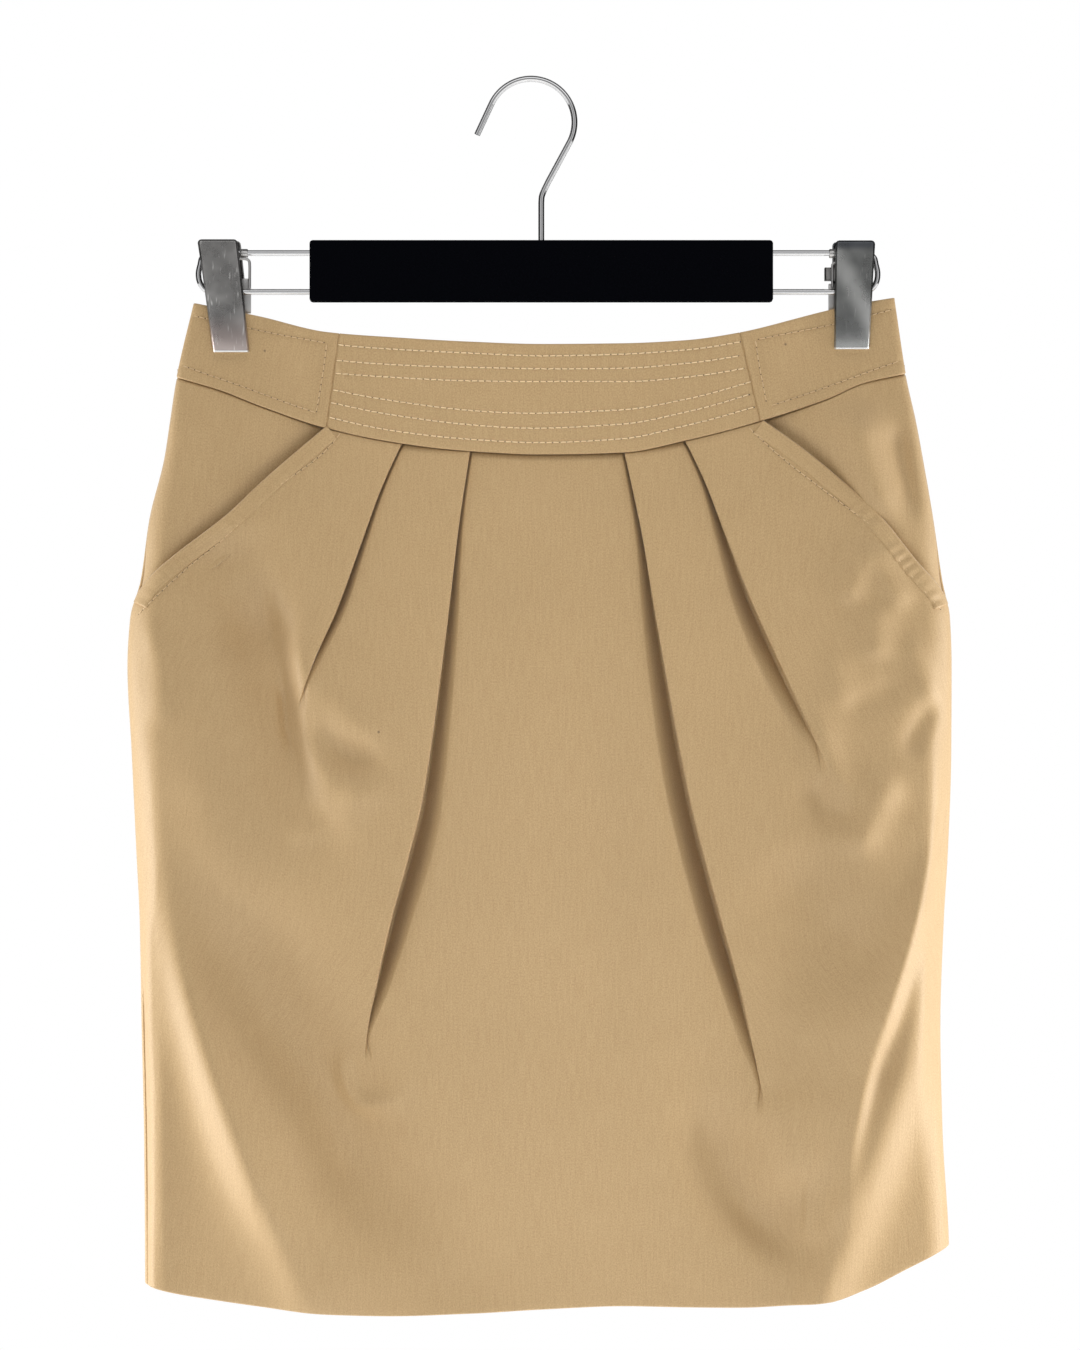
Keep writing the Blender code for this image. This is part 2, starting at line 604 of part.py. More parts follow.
def clip_plate(sign, name, facing):
    """A pressed plate with its two long edges turned in towards the other plate."""
    clip = CLIPS[sign]
    shift = clip.drift if facing > 0 else 0.0
    rows = []
    shares = (0.0, 0.03, 0.1, 0.35, 0.6, 0.8, 1.0)
    for share in shares:
        x = mix(clip.top[0], clip.tip[0], share) + shift
        z = mix(clip.top[1], clip.tip[1], share)
        half = mix(clip.top_width, clip.tip_width, share) / 2 - PLATE / 2
        y = mix(PLATE_TOP_Y, PLATE_TIP_Y, smooth_step(share) * 0.35 + share * 0.65)
        top_round = 1.6 * (1 - smooth_step(share / 0.1))
        y -= top_round
        reach = max(FLANGE * (1 - smooth_step((share - 0.25) / 0.6)), 0.0) * smooth_step(share / 0.1) + 0.25
        chamfer = 0.9
        section = [(-half, chamfer + reach), (-half, chamfer), (chamfer - half, 0), (0, 0),
                   (half - chamfer, 0), (half, chamfer), (half, chamfer + reach)]
        rows.append([(x + across, facing * (y - deeper), z) for across, deeper in section])
    return sheet(name, rows, PLATE, "steel", flip=facing > 0)


def clip_bracket(sign, name):
    """The bracket between the plates, bored for the two wires that it slides on."""
    clip = CLIPS[sign]
    level = (WIRE_HIGH + WIRE_LOW) / 2
    x = mix(clip.top[0], clip.tip[0], 0.3) + clip.drift / 2
    block = box(name, BRACKET, (x, 0, level), "steel", bevel=1.2)
    for height, place in ((WIRE_HIGH, "high"), (WIRE_LOW, "low")):
        cut(block, bore(f"slot_{name}_{place}", WIRE, (x, 0, height), (1, 0, 0), BRACKET[0] * 2))


# ---------------------------------------------------------------- solids
def collection(name):
    found = bpy.data.collections.get(name)
    if found is None:
        found = bpy.data.collections.new(name)
        bpy.context.scene.collection.children.link(found)
    return found


def material(name, finish):
    made = bpy.data.materials.new(name)
    made.use_nodes = True
    shader = made.node_tree.nodes["Principled BSDF"]
    shader.inputs["Base Color"].default_value = (*FINISHES[finish].colour, 1)
    shader.inputs["Roughness"].default_value = FINISHES[finish].roughness
    shader.inputs["Metallic"].default_value = FINISHES[finish].metallic
    return made


def add_piece(name, data, finish):
    """Put a mesh in the model, or among the cutters where it has no finish."""
    piece = bpy.data.objects.new(name, data)
    if finish is None:
        collection("cutters").objects.link(piece)
        piece.hide_render = True
        piece.display_type = "WIRE"
    else:
        collection("pleated_skirt").objects.link(piece)
        data.materials.append(material(f"{name}_{finish}", finish))
    return piece


def box(name, size, place, finish, bevel=0.0):
    mesh = bpy.data.meshes.new(name)
    shape = bmesh.new()
    bmesh.ops.create_cube(shape, size=1)
    bmesh.ops.scale(shape, vec=Vector(size) * MM, verts=shape.verts)
    bmesh.ops.translate(shape, vec=Vector(place) * MM, verts=shape.verts)
    shape.to_mesh(mesh)
    shape.free()
    piece = add_piece(name, mesh, finish)
    if bevel:
        rounded = piece.modifiers.new("rounded", "BEVEL")
        rounded.width = bevel * MM
        rounded.segments = 2
    return piece


def bore(name, across, place, direction, length=None):
    """A cutter for a hole that takes a wire with clearance all round."""
    sides = 16
    radius = (across / 2 + BORE_CLEARANCE) / math.cos(math.pi / sides)
    length = length or BORE_DEPTH * 2 + 1.2
    mesh = bpy.data.meshes.new(name)
    shape = bmesh.new()
    bmesh.ops.create_cone(shape, cap_ends=True, segments=sides, radius1=radius * MM, radius2=radius * MM,
                          depth=length * MM)
    turn = Vector((0, 0, 1)).rotation_difference(Vector(direction)).to_matrix().to_4x4()
    bmesh.ops.transform(shape, matrix=Matrix.Translation(Vector(place) * MM) @ turn, verts=shape.verts)
    shape.to_mesh(mesh)
    shape.free()
    return add_piece(name, mesh, None)


def cut(piece, cutter):
    boolean = piece.modifiers.new(cutter.name, "BOOLEAN")
    boolean.operation = "DIFFERENCE"
    boolean.object = cutter


def wire_curve(name, path, across):
    curve = bpy.data.curves.new(name, "CURVE")
    curve.dimensions = "3D"
    curve.bevel_depth = across / 2 * MM
    curve.bevel_resolution = 2
    curve.use_fill_caps = True
    spline = curve.splines.new("POLY")
    spline.points.add(len(path) - 1)
    for point, place in zip(spline.points, path):
        point.co = (*(Vector(place) * MM), 1)
    return curve


def wire(name, path, across, finish):
    return add_piece(name, wire_curve(name, path, across), finish)


def wire_mesh(name, path, across):
    """A wire as a closed mesh, for joining to a piece."""
    source = bpy.data.objects.new(name + "_line", wire_curve(name, path, across))
    collection("cutters").objects.link(source)
    seen = source.evaluated_get(bpy.context.evaluated_depsgraph_get())
    mesh = bpy.data.meshes.new_from_object(seen)
    bpy.data.objects.remove(source)
    shape = bmesh.new()
    shape.from_mesh(mesh)
    bmesh.ops.remove_doubles(shape, verts=shape.verts, dist=0.00001)
    shape.to_mesh(mesh)
    shape.free()
    return add_piece(name, mesh, None)


def main():
    for item in list(bpy.data.objects):
        bpy.data.objects.remove(item)
    front_panel()
    bands()
    for sign, word in ((-1, "left"), (1, "right")):
        hip_piece(sign, f"hip_{word}")
        back_panel(sign, f"back_{word}")
        hanger_wire(sign, f"hanger_wire_{word}")
        clip_plate(sign, f"clip_{word}_front", -1)
        clip_plate(sign, f"clip_{word}_back", 1)
        clip_bracket(sign, f"clip_{word}_bracket")
    zip_tape()
    zip_slider()
    zip_pull()
    hanger_bar()
    hanger_hook()


main()
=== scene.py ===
import math

import bmesh
import bpy
import numpy as np
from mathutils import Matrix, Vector


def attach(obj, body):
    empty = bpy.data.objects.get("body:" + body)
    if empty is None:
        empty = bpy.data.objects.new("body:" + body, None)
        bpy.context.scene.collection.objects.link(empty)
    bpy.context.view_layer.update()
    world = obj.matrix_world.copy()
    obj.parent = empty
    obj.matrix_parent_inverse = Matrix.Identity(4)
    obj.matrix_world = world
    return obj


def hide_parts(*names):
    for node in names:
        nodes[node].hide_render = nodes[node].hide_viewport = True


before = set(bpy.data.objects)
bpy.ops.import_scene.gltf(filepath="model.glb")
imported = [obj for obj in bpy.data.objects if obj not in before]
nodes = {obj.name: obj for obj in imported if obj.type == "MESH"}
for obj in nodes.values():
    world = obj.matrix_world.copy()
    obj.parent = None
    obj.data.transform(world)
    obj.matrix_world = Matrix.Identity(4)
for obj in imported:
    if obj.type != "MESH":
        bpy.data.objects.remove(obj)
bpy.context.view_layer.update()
mm = 0.001

# the skirt's lines in mm, as in the CAD
rings = {
    "level": [-675, -628, -568, -511, -455, -416, -363, -316, -290, -270, -236, -204, -183, -160, -118],
    "left": [214.7, 214.9, 215.4, 216.7, 217.7, 219.6, 222.1, 224.4, 222.9, 217.4, 212.5, 204.6, 201.4, 197.9,
             188.2],
    "right": [221.8, 221.0, 217.6, 216.4, 218.2, 220.5, 222.3, 222.5, 221.6, 217.6, 212.6, 207.1, 203.2, 198.1,
              191.7],
    "front": [28, 30, 33, 35, 36, 35, 33, 29, 26, 23, 19, 14, 12, 10, 8.5],
    "back": [21, 22, 24, 25, 25, 25, 23, 21, 19, 18, 15, 12, 10, 8.5, 7.5],
    "roll": [12, 12, 13, 14, 14, 14, 14, 13, 12, 11, 9, 6, 4.5, 3.2, 2.6],
}
across = {
    "x": [-225, -198, -174, -152, -116, -77, -39, 0, 44, 78, 107, 155, 175, 198, 225],
    "top": [-113, -117.5, -122.3, -126.8, -135.5, -138.6, -140.8, -142.1, -141.7, -140, -135.8, -123.5, -119.2,
            -115.6, -112],
    "seam": [-150.5, -159.8, -167, -175.7, -187.9, -196, -200.4, -202.2, -201.2, -194.6, -187.3, -171.8, -163,
             -157.8, -150],
    "hem": [-646.5, -653.6, -657.2, -660, -663.6, -664.6, -663.4, -660.8, -659, -659.8, -660.2, -656.9, -651,
            -640, -627],
}
pockets = {
    -1: {"round": [115, 149, 170, 197, 219, 245], "level": [-186.5, -215.7, -235.5, -256.2, -275, -300]},
    1: {"round": [119, 138.5, 160, 183, 205, 219, 245],
        "level": [-183.5, -197.3, -214.7, -236, -263, -276.5, -300]},
}
pleats = {
    "innerLeft": {
        "level": [-195, -238, -301, -389, -416, -455, -489, -505, -515, -522, -529, -600, -670],
        "edge": [38, 44.4, 51.8, 64.2, 70.8, 81.3, 89, 92.4, 94, 94.8, 95.4, 103, 112],
        "mouth": [0.8, 1.4, 3.8, 6.5, 7.4, 6.5, 4.3, 2.4, 1.2, 0.6, 0.6, 6, 12],
        "under": [14, 14, 13, 12, 11, 9, 6, 4, 2, 1, 1, 5, 9],
        "turn": [180, 180, 180, 180, 180, 180, 180, 176, 160, 90, 0, 0, 0],
    },
    "innerRight": {
        "level": [-195, -246, -294, -389, -444, -490, -519, -532, -541, -548, -555, -610, -670],
        "edge": [44, 54.7, 62.6, 80.3, 94.4, 107, 113.5, 116.2, 118, 119.5, 120.5, 126, 131],
        "mouth": [0.8, 2.2, 4.6, 7.2, 7.4, 6, 3.8, 2, 1, 0.6, 0.6, 6, 12],
        "under": [14, 14, 13, 12, 10, 7, 4, 3, 2, 1, 1, 5, 9],
        "turn": [180, 180, 180, 180, 180, 180, 178, 170, 150, 80, 0, 0, 0],
    },
    "outerLeft": {
        "level": [-190, -221, -252, -287, -312, -325, -333, -340, -400, -520, -670],
        "edge": [73, 86.9, 98, 110.8, 122, 126.8, 129.5, 131.5, 142, 152, 160],
        "mouth": [0.8, 1.2, 1.8, 2.7, 2.2, 1.2, 0.6, 0.6, 5, 9, 12],
        "under": [12, 12, 10, 7, 4, 2.5, 1, 1, 5, 8, 9],
        "turn": [180, 180, 180, 180, 176, 160, 90, 0, 0, 0, 0],
    },
    "outerRight": {
        "level": [-190, -216, -244, -283, -323, -345, -358, -366, -374, -410, -520, -670],
        "edge": [76, 88.3, 99, 114.2, 132.5, 142.5, 148.5, 152, 154.5, 160, 166, 168],
        "mouth": [0.8, 1.4, 3.2, 6, 7.4, 5, 2.6, 1, 0.6, 5, 9, 12],
        "under": [12, 12, 11, 8, 5, 3.5, 2, 1, 1, 5, 8, 9],
        "turn": [180, 180, 180, 180, 178, 170, 140, 70, 0, 0, 0, 0],
    },
}
cloth = {"wall": 0.8, "seamGap": 0.4, "sideGap": 0.28, "foldRadius": 0.8, "drop": 3.8, "mouthDepth": 1.7,
         "setBack": 1.9, "bandWall": 1.8, "freeWidth": 12}
# where a clip presses front and back together: half the depth left, and how far that reaches
pinch = {"depth": 1.05, "at": 166.5, "reach": 13, "fade": 32, "below": -148, "fadeDown": 42}
# the round at a side: its share of the table's width, less on the left from a level down
sideRound = {"share": 1.15, "leftShare": 0.55, "from": -400, "over": 70}


def smooth(share):
    share = np.clip(share, 0, 1)
    return share * share * (3 - 2 * share)


def mix(start, end, share):
    return start + (end - start) * share


# smooth line through a table's points that doesn't overshoot
def readLine(keys, values, at):
    order = np.argsort(keys)
    keys, values = np.asarray(keys, float)[order], np.asarray(values, float)[order]
    at = np.clip(at, keys[0], keys[-1])
    rises = np.diff(values) / np.diff(keys)
    slopes = np.zeros(len(keys))
    slopes[0], slopes[-1] = rises[0], rises[-1]
    before, after = rises[:-1], rises[1:]
    same = before * after > 0
    slopes[1:-1][same] = 2 * before[same] * after[same] / (before[same] + after[same])
    place = np.clip(np.searchsorted(keys, at) - 1, 0, len(keys) - 2)
    width = keys[place + 1] - keys[place]
    t = (at - keys[place]) / width
    return (values[place] * (1 + 2 * t) * (1 - t) ** 2 + slopes[place] * width * t * (1 - t) ** 2
            + values[place + 1] * t * t * (3 - 2 * t) + slopes[place + 1] * width * t * t * (t - 1))


def ring(column, level):
    return readLine(rings["level"], rings[column], level)


def line(column, x):
    return readLine(across["x"], across[column], x)


def sideAt(level, sign, wall=1.0):
    return ring("left" if sign < 0 else "right", level) - wall / 2


def sideOf(x, level, wall=1.0):
    return np.where(x < 0, sideAt(level, -1, wall), sideAt(level, 1, wall))


# 0 at the side seam and 1 where the cloth is free to crease
def freeShare(x, side):
    return smooth((side - np.abs(x)) / cloth["freeWidth"])


def halfDepth(x, level, column):
    roll = ring("roll", level)
    free = roll + (ring(column, level) - roll) * (1 - np.minimum(np.abs(x) / sideOf(x, level), 1) ** 2)
    near = 1 - smooth((np.abs(np.abs(x) - pinch["at"]) - pinch["reach"]) / pinch["fade"])
    down = 1 - smooth((pinch["below"] - level) / pinch["fadeDown"])
    return mix(free, pinch["depth"], near * down)


def rollWidth(level, sign):
    narrow = np.where(np.asarray(sign) < 0, smooth((sideRound["from"] - level) / sideRound["over"]), 0.0)
    return ring("roll", level) * mix(sideRound["share"], sideRound["leftShare"], narrow)


def roundLength(level, sign, wall=1.0):
    roll = rollWidth(level, sign)
    return sideAt(level, sign, wall) - roll + roll * math.pi / 2 - cloth["sideGap"]


def placeRound(distance, level, sign, column, wall=1.0, inset=0.0):
    roll = rollWidth(level, sign)
    flat = sideAt(level, sign, wall) - roll
    angle = np.clip((distance - flat) / roll, 0, math.pi / 2)
    x = np.where(distance <= flat, distance, flat + (roll - inset) * np.sin(angle))
    share = np.where(distance <= flat, 1.0, np.cos(angle))
    depth = (halfDepth(sign * x, level, column) - inset) * share
    return sign * x, np.maximum(depth, cloth["sideGap"])


def seamLevel(x):
    return line("seam", x) - cloth["seamGap"] / 2


def rowLevel(x, share):
    return mix(seamLevel(x), line("hem", x), share)


def pocketLevel(sign, distance):
    return readLine(pockets[sign]["round"], pockets[sign]["level"], distance)


# a crease: a line down the cloth, its height above it, minus for a trough, the reach to the left and to the
# right of the line, and how much of the height is left at its two ends
def crease(height, reach, ends, *path):
    return {"height": height, "reach": reach, "ends": ends, "path": path}


creases = [
    # from the end of the outer left pleat
    crease(-8, (18, 26), (0, 0.3), (-178, -240), (-169, -266), (-160, -295), (-152, -322)),
    crease(-12, (24, 10), (0, 0.4), (-161, -262), (-156, -275), (-151, -285), (-145, -310), (-140, -333),
           (-135, -360), (-129, -389), (-118, -400)),
    crease(2.6, (7, 9), (0.1, 0), (-141, -399), (-129, -405), (-114, -402), (-101, -389), (-90, -377)),
    crease(6, (6, 8), (0.3, 0.2), (-131, -290), (-130, -315), (-127, -340), (-121, -362), (-114, -380)),
    crease(-3, (3, 3), (0, 0), (-140, -318), (-139, -334), (-137, -352), (-132, -370)),
    crease(-7, (8, 9), (0.6, 0.1), (-128, -336), (-121, -352), (-110, -363), (-94, -367), (-82, -365)),
    crease(1.8, (8, 8), (0.3, 0), (-116, -322), (-103, -343), (-78, -356)),
    crease(2.4, (7, 7), (0, 0), (-108, -384), (-96, -384), (-78, -380)),
    crease(3, (7, 8), (0.2, 0), (-212, -286), (-205, -318), (-206, -354)),
    crease(2, (16, 16), (0, 0), (-190, -350), (-170, -420), (-140, -470)),
    # the long fold down the left side
    crease(12.5, (18, 34), (0.3, 0.5), (-206, -389), (-198, -430), (-189, -466), (-180, -505), (-169, -545),
           (-153, -588), (-137, -624), (-125, -650)),
    crease(3.4, (8, 10), (0.1, 0.3), (-204, -430), (-196, -470), (-186, -508), (-173, -549), (-155, -597),
           (-137, -632), (-130, -655)),
    crease(4, (8, 16), (0.1, 0.5), (-212, -500), (-212, -560), (-212, -620), (-212, -650)),
    crease(-18, (26, 32), (0.1, 0.3), (-196, -400), (-184, -440), (-164, -480), (-142, -512), (-117, -547),
           (-99, -584), (-68, -616), (-48, -642)),
    crease(4, (4, 5), (0, 0.3), (-104, -518), (-107, -535), (-101, -549), (-90, -553), (-79, -548), (-73, -537),
           (-75, -523)),
    # from the outer right pleat to the side
    crease(-2.2, (8, 6), (0, 0), (160, -343), (179, -333), (197, -324)),
    crease(-3, (6, 6), (0, 0), (214, -333), (204, -348), (195, -368)),
    crease(4.2, (7, 8), (0.3, 0), (178, -246), (169, -268), (163, -286)),
    crease(4, (8, 9), (0.2, 0), (181, -246), (187, -268), (198, -288)),
    crease(3.6, (9, 10), (0, 0), (179, -280), (182, -316)),
    crease(1.6, (8, 8), (0, 0), (158, -304), (163, -343)),
    crease(3.4, (7, 8), (0.4, 0), (148, -340), (156, -368), (170, -388)),
    crease(-4.2, (8, 7), (0, 0.2), (140, -376), (155, -396), (176, -396)),
    crease(2.6, (7, 7), (0, 0), (197, -296), (212, -341)),
    crease(5.4, (14, 10), (0.1, 0), (192, -368), (178, -394), (164, -422)),
    crease(-7.5, (22, 12), (0.2, 0.1), (204, -398), (198, -428), (180, -466), (158, -492)),
    crease(-6, (26, 24), (0, 0), (126, -410), (150, -455), (160, -510)),
    # the two ridges on the right and the pouch under the inner right pleat
    crease(7, (60, 12), (0.5, 0.3), (212, -388), (200, -450), (186, -500), (176, -540)),
    crease(11, (30, 7), (0.3, 0.3), (214, -383), (209, -412), (199, -453), (185.5, -498), (175, -531), (167, -564),
           (162.6, -586), (158.8, -604), (150, -618)),
    crease(11.5, (12, 15), (0.2, 0.9), (211, -450), (206, -486), (197, -528), (187, -556), (177, -584), (166, -612),
           (155, -642), (149, -662)),
    crease(-11, (11, 23), (0.2, 0.15), (84, -540), (90, -570), (98, -592), (110, -609), (125, -621), (140, -627),
           (153, -624)),
    crease(5, (20, 20), (0.3, 0.2), (122, -540), (132, -570), (142, -600)),
    # slack in the middle
    crease(1, (12, 12), (0, 0), (-16, -240), (-12, -400), (-20, -560)),
    crease(-1, (14, 14), (0, 0), (26, -260), (34, -420), (30, -600)),
]
# narrow lines right at the sides: the back panel's edge showing on the left and a small fold on the right
sideLines = [
    crease(-3.5, (0.9, 0.9), (0.1, 0.8), (-215.4, -452), (-214.2, -511), (-212.9, -568), (-212.4, -628),
           (-212.3, -650)),
    crease(-1.6, (1.6, 1.2), (0.1, 0.1), (220.0, -381), (218.0, -396), (214.5, -417)),
]


# a curved line through the points, with several steps between each two
def curvedPath(points, steps=8):
    points = np.asarray(points, float)
    ends = np.vstack([2 * points[0] - points[1], points, 2 * points[-1] - points[-2]])
    path = []
    for a, b, c, d in zip(ends, ends[1:], ends[2:], ends[3:]):
        for step in range(steps):
            t = step / steps
            path.append(0.5 * (2 * b + (c - a) * t + (2 * a - 5 * b + 4 * c - d) * t * t
                               + (3 * b - a - 3 * c + d) * t ** 3))
    path.append(points[-1])
    return np.array(path)


# for each place: distance from the line, on which side it lies, and how far along the line
def fromPath(x, level, path):
    steps = np.diff(path, axis=0)
    lengths = np.hypot(steps[:, 0], steps[:, 1])
    starts = np.concatenate([[0], np.cumsum(lengths)[:-1]])
    best = np.full(x.shape, 1e9)
    along = np.zeros(x.shape)
    side = np.zeros(x.shape)
    for start, step, length, run in zip(path, steps, lengths, starts):
        dx, dz = x - start[0], level - start[1]
        share = np.clip((dx * step[0] + dz * step[1]) / length ** 2, 0, 1)
        apart = np.hypot(dx - share * step[0], dz - share * step[1])
        nearer = apart < best
        best = np.where(nearer, apart, best)
        along = np.where(nearer, run + share * length, along)
        side = np.where(nearer, (step[0] * dz - step[1] * dx) / length / np.maximum(apart, 0.001), side)
    return best, side, along / lengths.sum()


def reliefOf(foldList, x, level):
    relief = np.zeros(x.shape)
    for fold in foldList:
        path = curvedPath(fold["path"])
        reach = max(fold["reach"]) * 3
        low, high = path.min(0) - reach, path.max(0) + reach
        near = (x > low[0]) & (x < high[0]) & (level > low[1]) & (level < high[1])
        if not near.any():
            continue
        apart, side, along = fromPath(x[near], level[near], path)
        taper = smooth(along / 0.3) * smooth((1 - along) / 0.3)
        taper = mix(mix(fold["ends"][0], fold["ends"][1], along), 1, taper)
        width = mix(fold["reach"][0], fold["reach"][1], smooth(side / 2 + 0.5))
        relief[near] += fold["height"] * taper * np.exp(-(apart / width) ** 2)
    return relief


def addObject(name, data):
    piece = bpy.data.objects.new(name, data)
    bpy.context.scene.collection.objects.link(piece)
    return piece


# a sheet from rows of points in mm, with UVs in metres along the cloth
def clothGrid(name, x, y, z, closed=False):
    points = np.stack([x, y, z], axis=-1) * mm
    rows, columns = x.shape
    index = np.arange(rows * columns).reshape(rows, columns)
    below = np.roll(index, -1, axis=0) if closed else index[1:]
    above = index if closed else index[:-1]
    faces = np.stack([above[:, :-1], above[:, 1:], below[:, 1:], below[:, :-1]], axis=-1).reshape(-1, 4)
    mesh = bpy.data.meshes.new(name)
    mesh.from_pydata(points.reshape(-1, 3).tolist(), [], faces.tolist())
    stepAcross = np.linalg.norm(np.diff(points, axis=1), axis=-1)
    stepDown = np.linalg.norm(np.diff(points, axis=0), axis=-1)
    u = np.concatenate([np.zeros((rows, 1)), np.cumsum(stepAcross, axis=1)], axis=1)
    u -= u[:, [columns // 2]]
    v = -np.concatenate([np.zeros((1, columns)), np.cumsum(stepDown, axis=0)], axis=0)
    places = np.stack([u, v], axis=-1).reshape(-1, 2)
    layer = mesh.uv_layers.new(name="clothUv")
    layer.data.foreach_set("uv", places[faces.reshape(-1)].reshape(-1))
    mesh.update()
    mesh.shade_smooth()
    return addObject(name, mesh)


def thicken(piece, wall):
    solid = piece.modifiers.new("wall", "SOLIDIFY")
    solid.thickness = wall * mm
    solid.offset = 0
    return piece


def faceOutward(piece):
    shape = bmesh.new()
    shape.from_mesh(piece.data)
    bmesh.ops.recalc_face_normals(shape, faces=shape.faces)
    shape.to_mesh(piece.data)
    shape.free()


def makeOnly(piece):
    bpy.ops.object.select_all(action="DESELECT")
    piece.select_set(True)
    bpy.context.view_layer.objects.active = piece


def joinPieces(name, pieces):
    makeOnly(pieces[0])
    for piece in pieces:
        piece.select_set(True)
    bpy.ops.object.join()
    pieces[0].name = name
    return pieces[0]


def setMaterial(piece, material):
    piece.data.materials.clear()
    piece.data.materials.append(material)


# a new piece gets its material and body, and takes the place of a CAD node
def dress(piece, material, node=None):
    setMaterial(piece, material)
    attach(piece, "skirt")
    if node:
        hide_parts(node)
    return piece


# nodes of the materials and the world
def setInputs(tree, node, inputs):
    for key, value in inputs.items():
        if isinstance(value, bpy.types.NodeSocket):
            tree.links.new(value, node.inputs[key])
        else:
            node.inputs[key].default_value = value


def addNode(tree, kind, inputs=None, **settings):
    node = tree.nodes.new(kind)
    for key, value in settings.items():
        setattr(node, key, value)
    setInputs(tree, node, inputs or {})
    return node


def newMaterial(name):
    material = bpy.data.materials.new(name)
    material.use_nodes = True
    tree = material.node_tree
    return material, tree, tree.nodes["Principled BSDF"]


def objectPlace(tree):
    return addNode(tree, "ShaderNodeTexCoord").outputs["Object"]


def stretched(tree, place, scale, turned=(0, 0, 0)):
    inputs = {"Vector": place, "Scale": scale, "Rotation": turned}
    return addNode(tree, "ShaderNodeMapping", inputs).outputs["Vector"]


def noise(tree, place, scale=1.0, detail=2.0):
    return addNode(tree, "ShaderNodeTexNoise", {"Vector": place, "Scale": scale, "Detail": detail}).outputs["Fac"]


def combine(tree, operation, first, second=0.0):
    return addNode(tree, "ShaderNodeMath", {0: first, 1: second}, operation=operation).outputs["Value"]


# the low value up to the start and the high one from the end on
def ramp(tree, value, start, end, low=0.0, high=1.0, shape="LINEAR"):
    inputs = {"Value": value, "From Min": start, "From Max": end, "To Min": low, "To Max": high}
    return addNode(tree, "ShaderNodeMapRange", inputs, interpolation_type=shape).outputs["Result"]


def blend(tree, share, first, second, kind="MIX"):
    inputs = {"Fac": share, "Color1": first, "Color2": second}
    return addNode(tree, "ShaderNodeMixRGB", inputs, blend_type=kind).outputs["Color"]


def bumped(tree, height, strength, distance):
    inputs = {"Height": height, "Strength": strength, "Distance": distance}
    return addNode(tree, "ShaderNodeBump", inputs).outputs["Normal"]


# small dark specks on the front: their places in mm, with the depth scaled down, and their core and rim in metres
specks = {"places": [(-87.2, -1.5, -351.6), (-149.8, -0.3, -145.4), (132.1, -0.3, -142.1)],
          "flatten": (1, 0.05, 1), "core": 0.0004, "rim": 0.0009, "strength": 0.65, "colour": (0.10, 0.06, 0.03, 1)}
satin = {"colours": [(0.500, 0.335, 0.160, 1), (0.550, 0.371, 0.182, 1)], "cloudy": 9.0,
         "yarn": (900, 70, 1), "grain": (1500, 1100, 1), "streaks": 0.20, "speckle": 0.5}


def clothMaterial(name):
    material, tree, shader = newMaterial(name)
    uv = addNode(tree, "ShaderNodeUVMap", uv_map="clothUv").outputs["UV"]
    place = objectPlace(tree)
    yarn = noise(tree, stretched(tree, uv, satin["yarn"]))
    grain = noise(tree, stretched(tree, uv, satin["grain"]), detail=1.0)
    colour = blend(tree, noise(tree, place, satin["cloudy"], 3.0), *satin["colours"])
    colour = blend(tree, satin["streaks"], colour, yarn, "SOFT_LIGHT")
    colour = blend(tree, satin["speckle"], colour, grain, "SOFT_LIGHT")
    flat = stretched(tree, place, specks["flatten"])
    nearest = None
    for speck in specks["places"]:
        inputs = {0: flat, 1: [value * mm for value in speck]}
        apart = addNode(tree, "ShaderNodeVectorMath", inputs, operation="DISTANCE").outputs["Value"]
        nearest = apart if nearest is None else combine(tree, "MINIMUM", apart, nearest)
    mark = ramp(tree, nearest, specks["core"], specks["rim"], specks["strength"], 0.0)
    setInputs(tree, shader, {"Base Color": blend(tree, mark, colour, specks["colour"]),
                             "Normal": bumped(tree, combine(tree, "ADD", yarn, grain), 0.3, 0.0003),
                             "Roughness": 0.54, "Specular IOR Level": 0.6, "Sheen Weight": 0.3,
                             "Sheen Roughness": 0.4, "Sheen Tint": (1.0, 0.96, 0.88, 1)})
    return material


def metalMaterial(name, colour, roughness, brushed=0.0):
    material, tree, shader = newMaterial(name)
    place = objectPlace(tree)
    smear = noise(tree, place, 60.0, 4.0)
    lines = noise(tree, stretched(tree, place, (2500, 2500, 60)))
    setInputs(tree, shader, {"Base Color": (*colour, 1), "Metallic": 1.0, "Specular Tint": (0.55, 0.55, 0.56, 1),
                             "Roughness": ramp(tree, smear, 0, 1, roughness * 0.7, roughness * 1.5),
                             "Normal": bumped(tree, lines, 0.05 + brushed, 0.0001)})
    return material


def flockMaterial():
    material, tree, shader = newMaterial("flock")
    fine = noise(tree, objectPlace(tree), 2200.0)
    setInputs(tree, shader, {"Base Color": (0.0016, 0.0018, 0.0030, 1), "Roughness": 0.95,
                             "Specular IOR Level": 0.02, "Normal": bumped(tree, fine, 0.5, 0.0004)})
    return material


def threadMaterial(name, colour):
    material, tree, shader = newMaterial(name)
    inputs = {"Vector": objectPlace(tree), "Scale": 900.0, "Distortion": 1.5}
    twist = addNode(tree, "ShaderNodeTexWave", inputs, bands_direction="DIAGONAL").outputs["Fac"]
    setInputs(tree, shader, {"Base Color": (*colour, 1), "Roughness": 0.6, "Sheen Weight": 0.2,
                             "Normal": bumped(tree, twist, 0.3, 0.0002)})
    return material
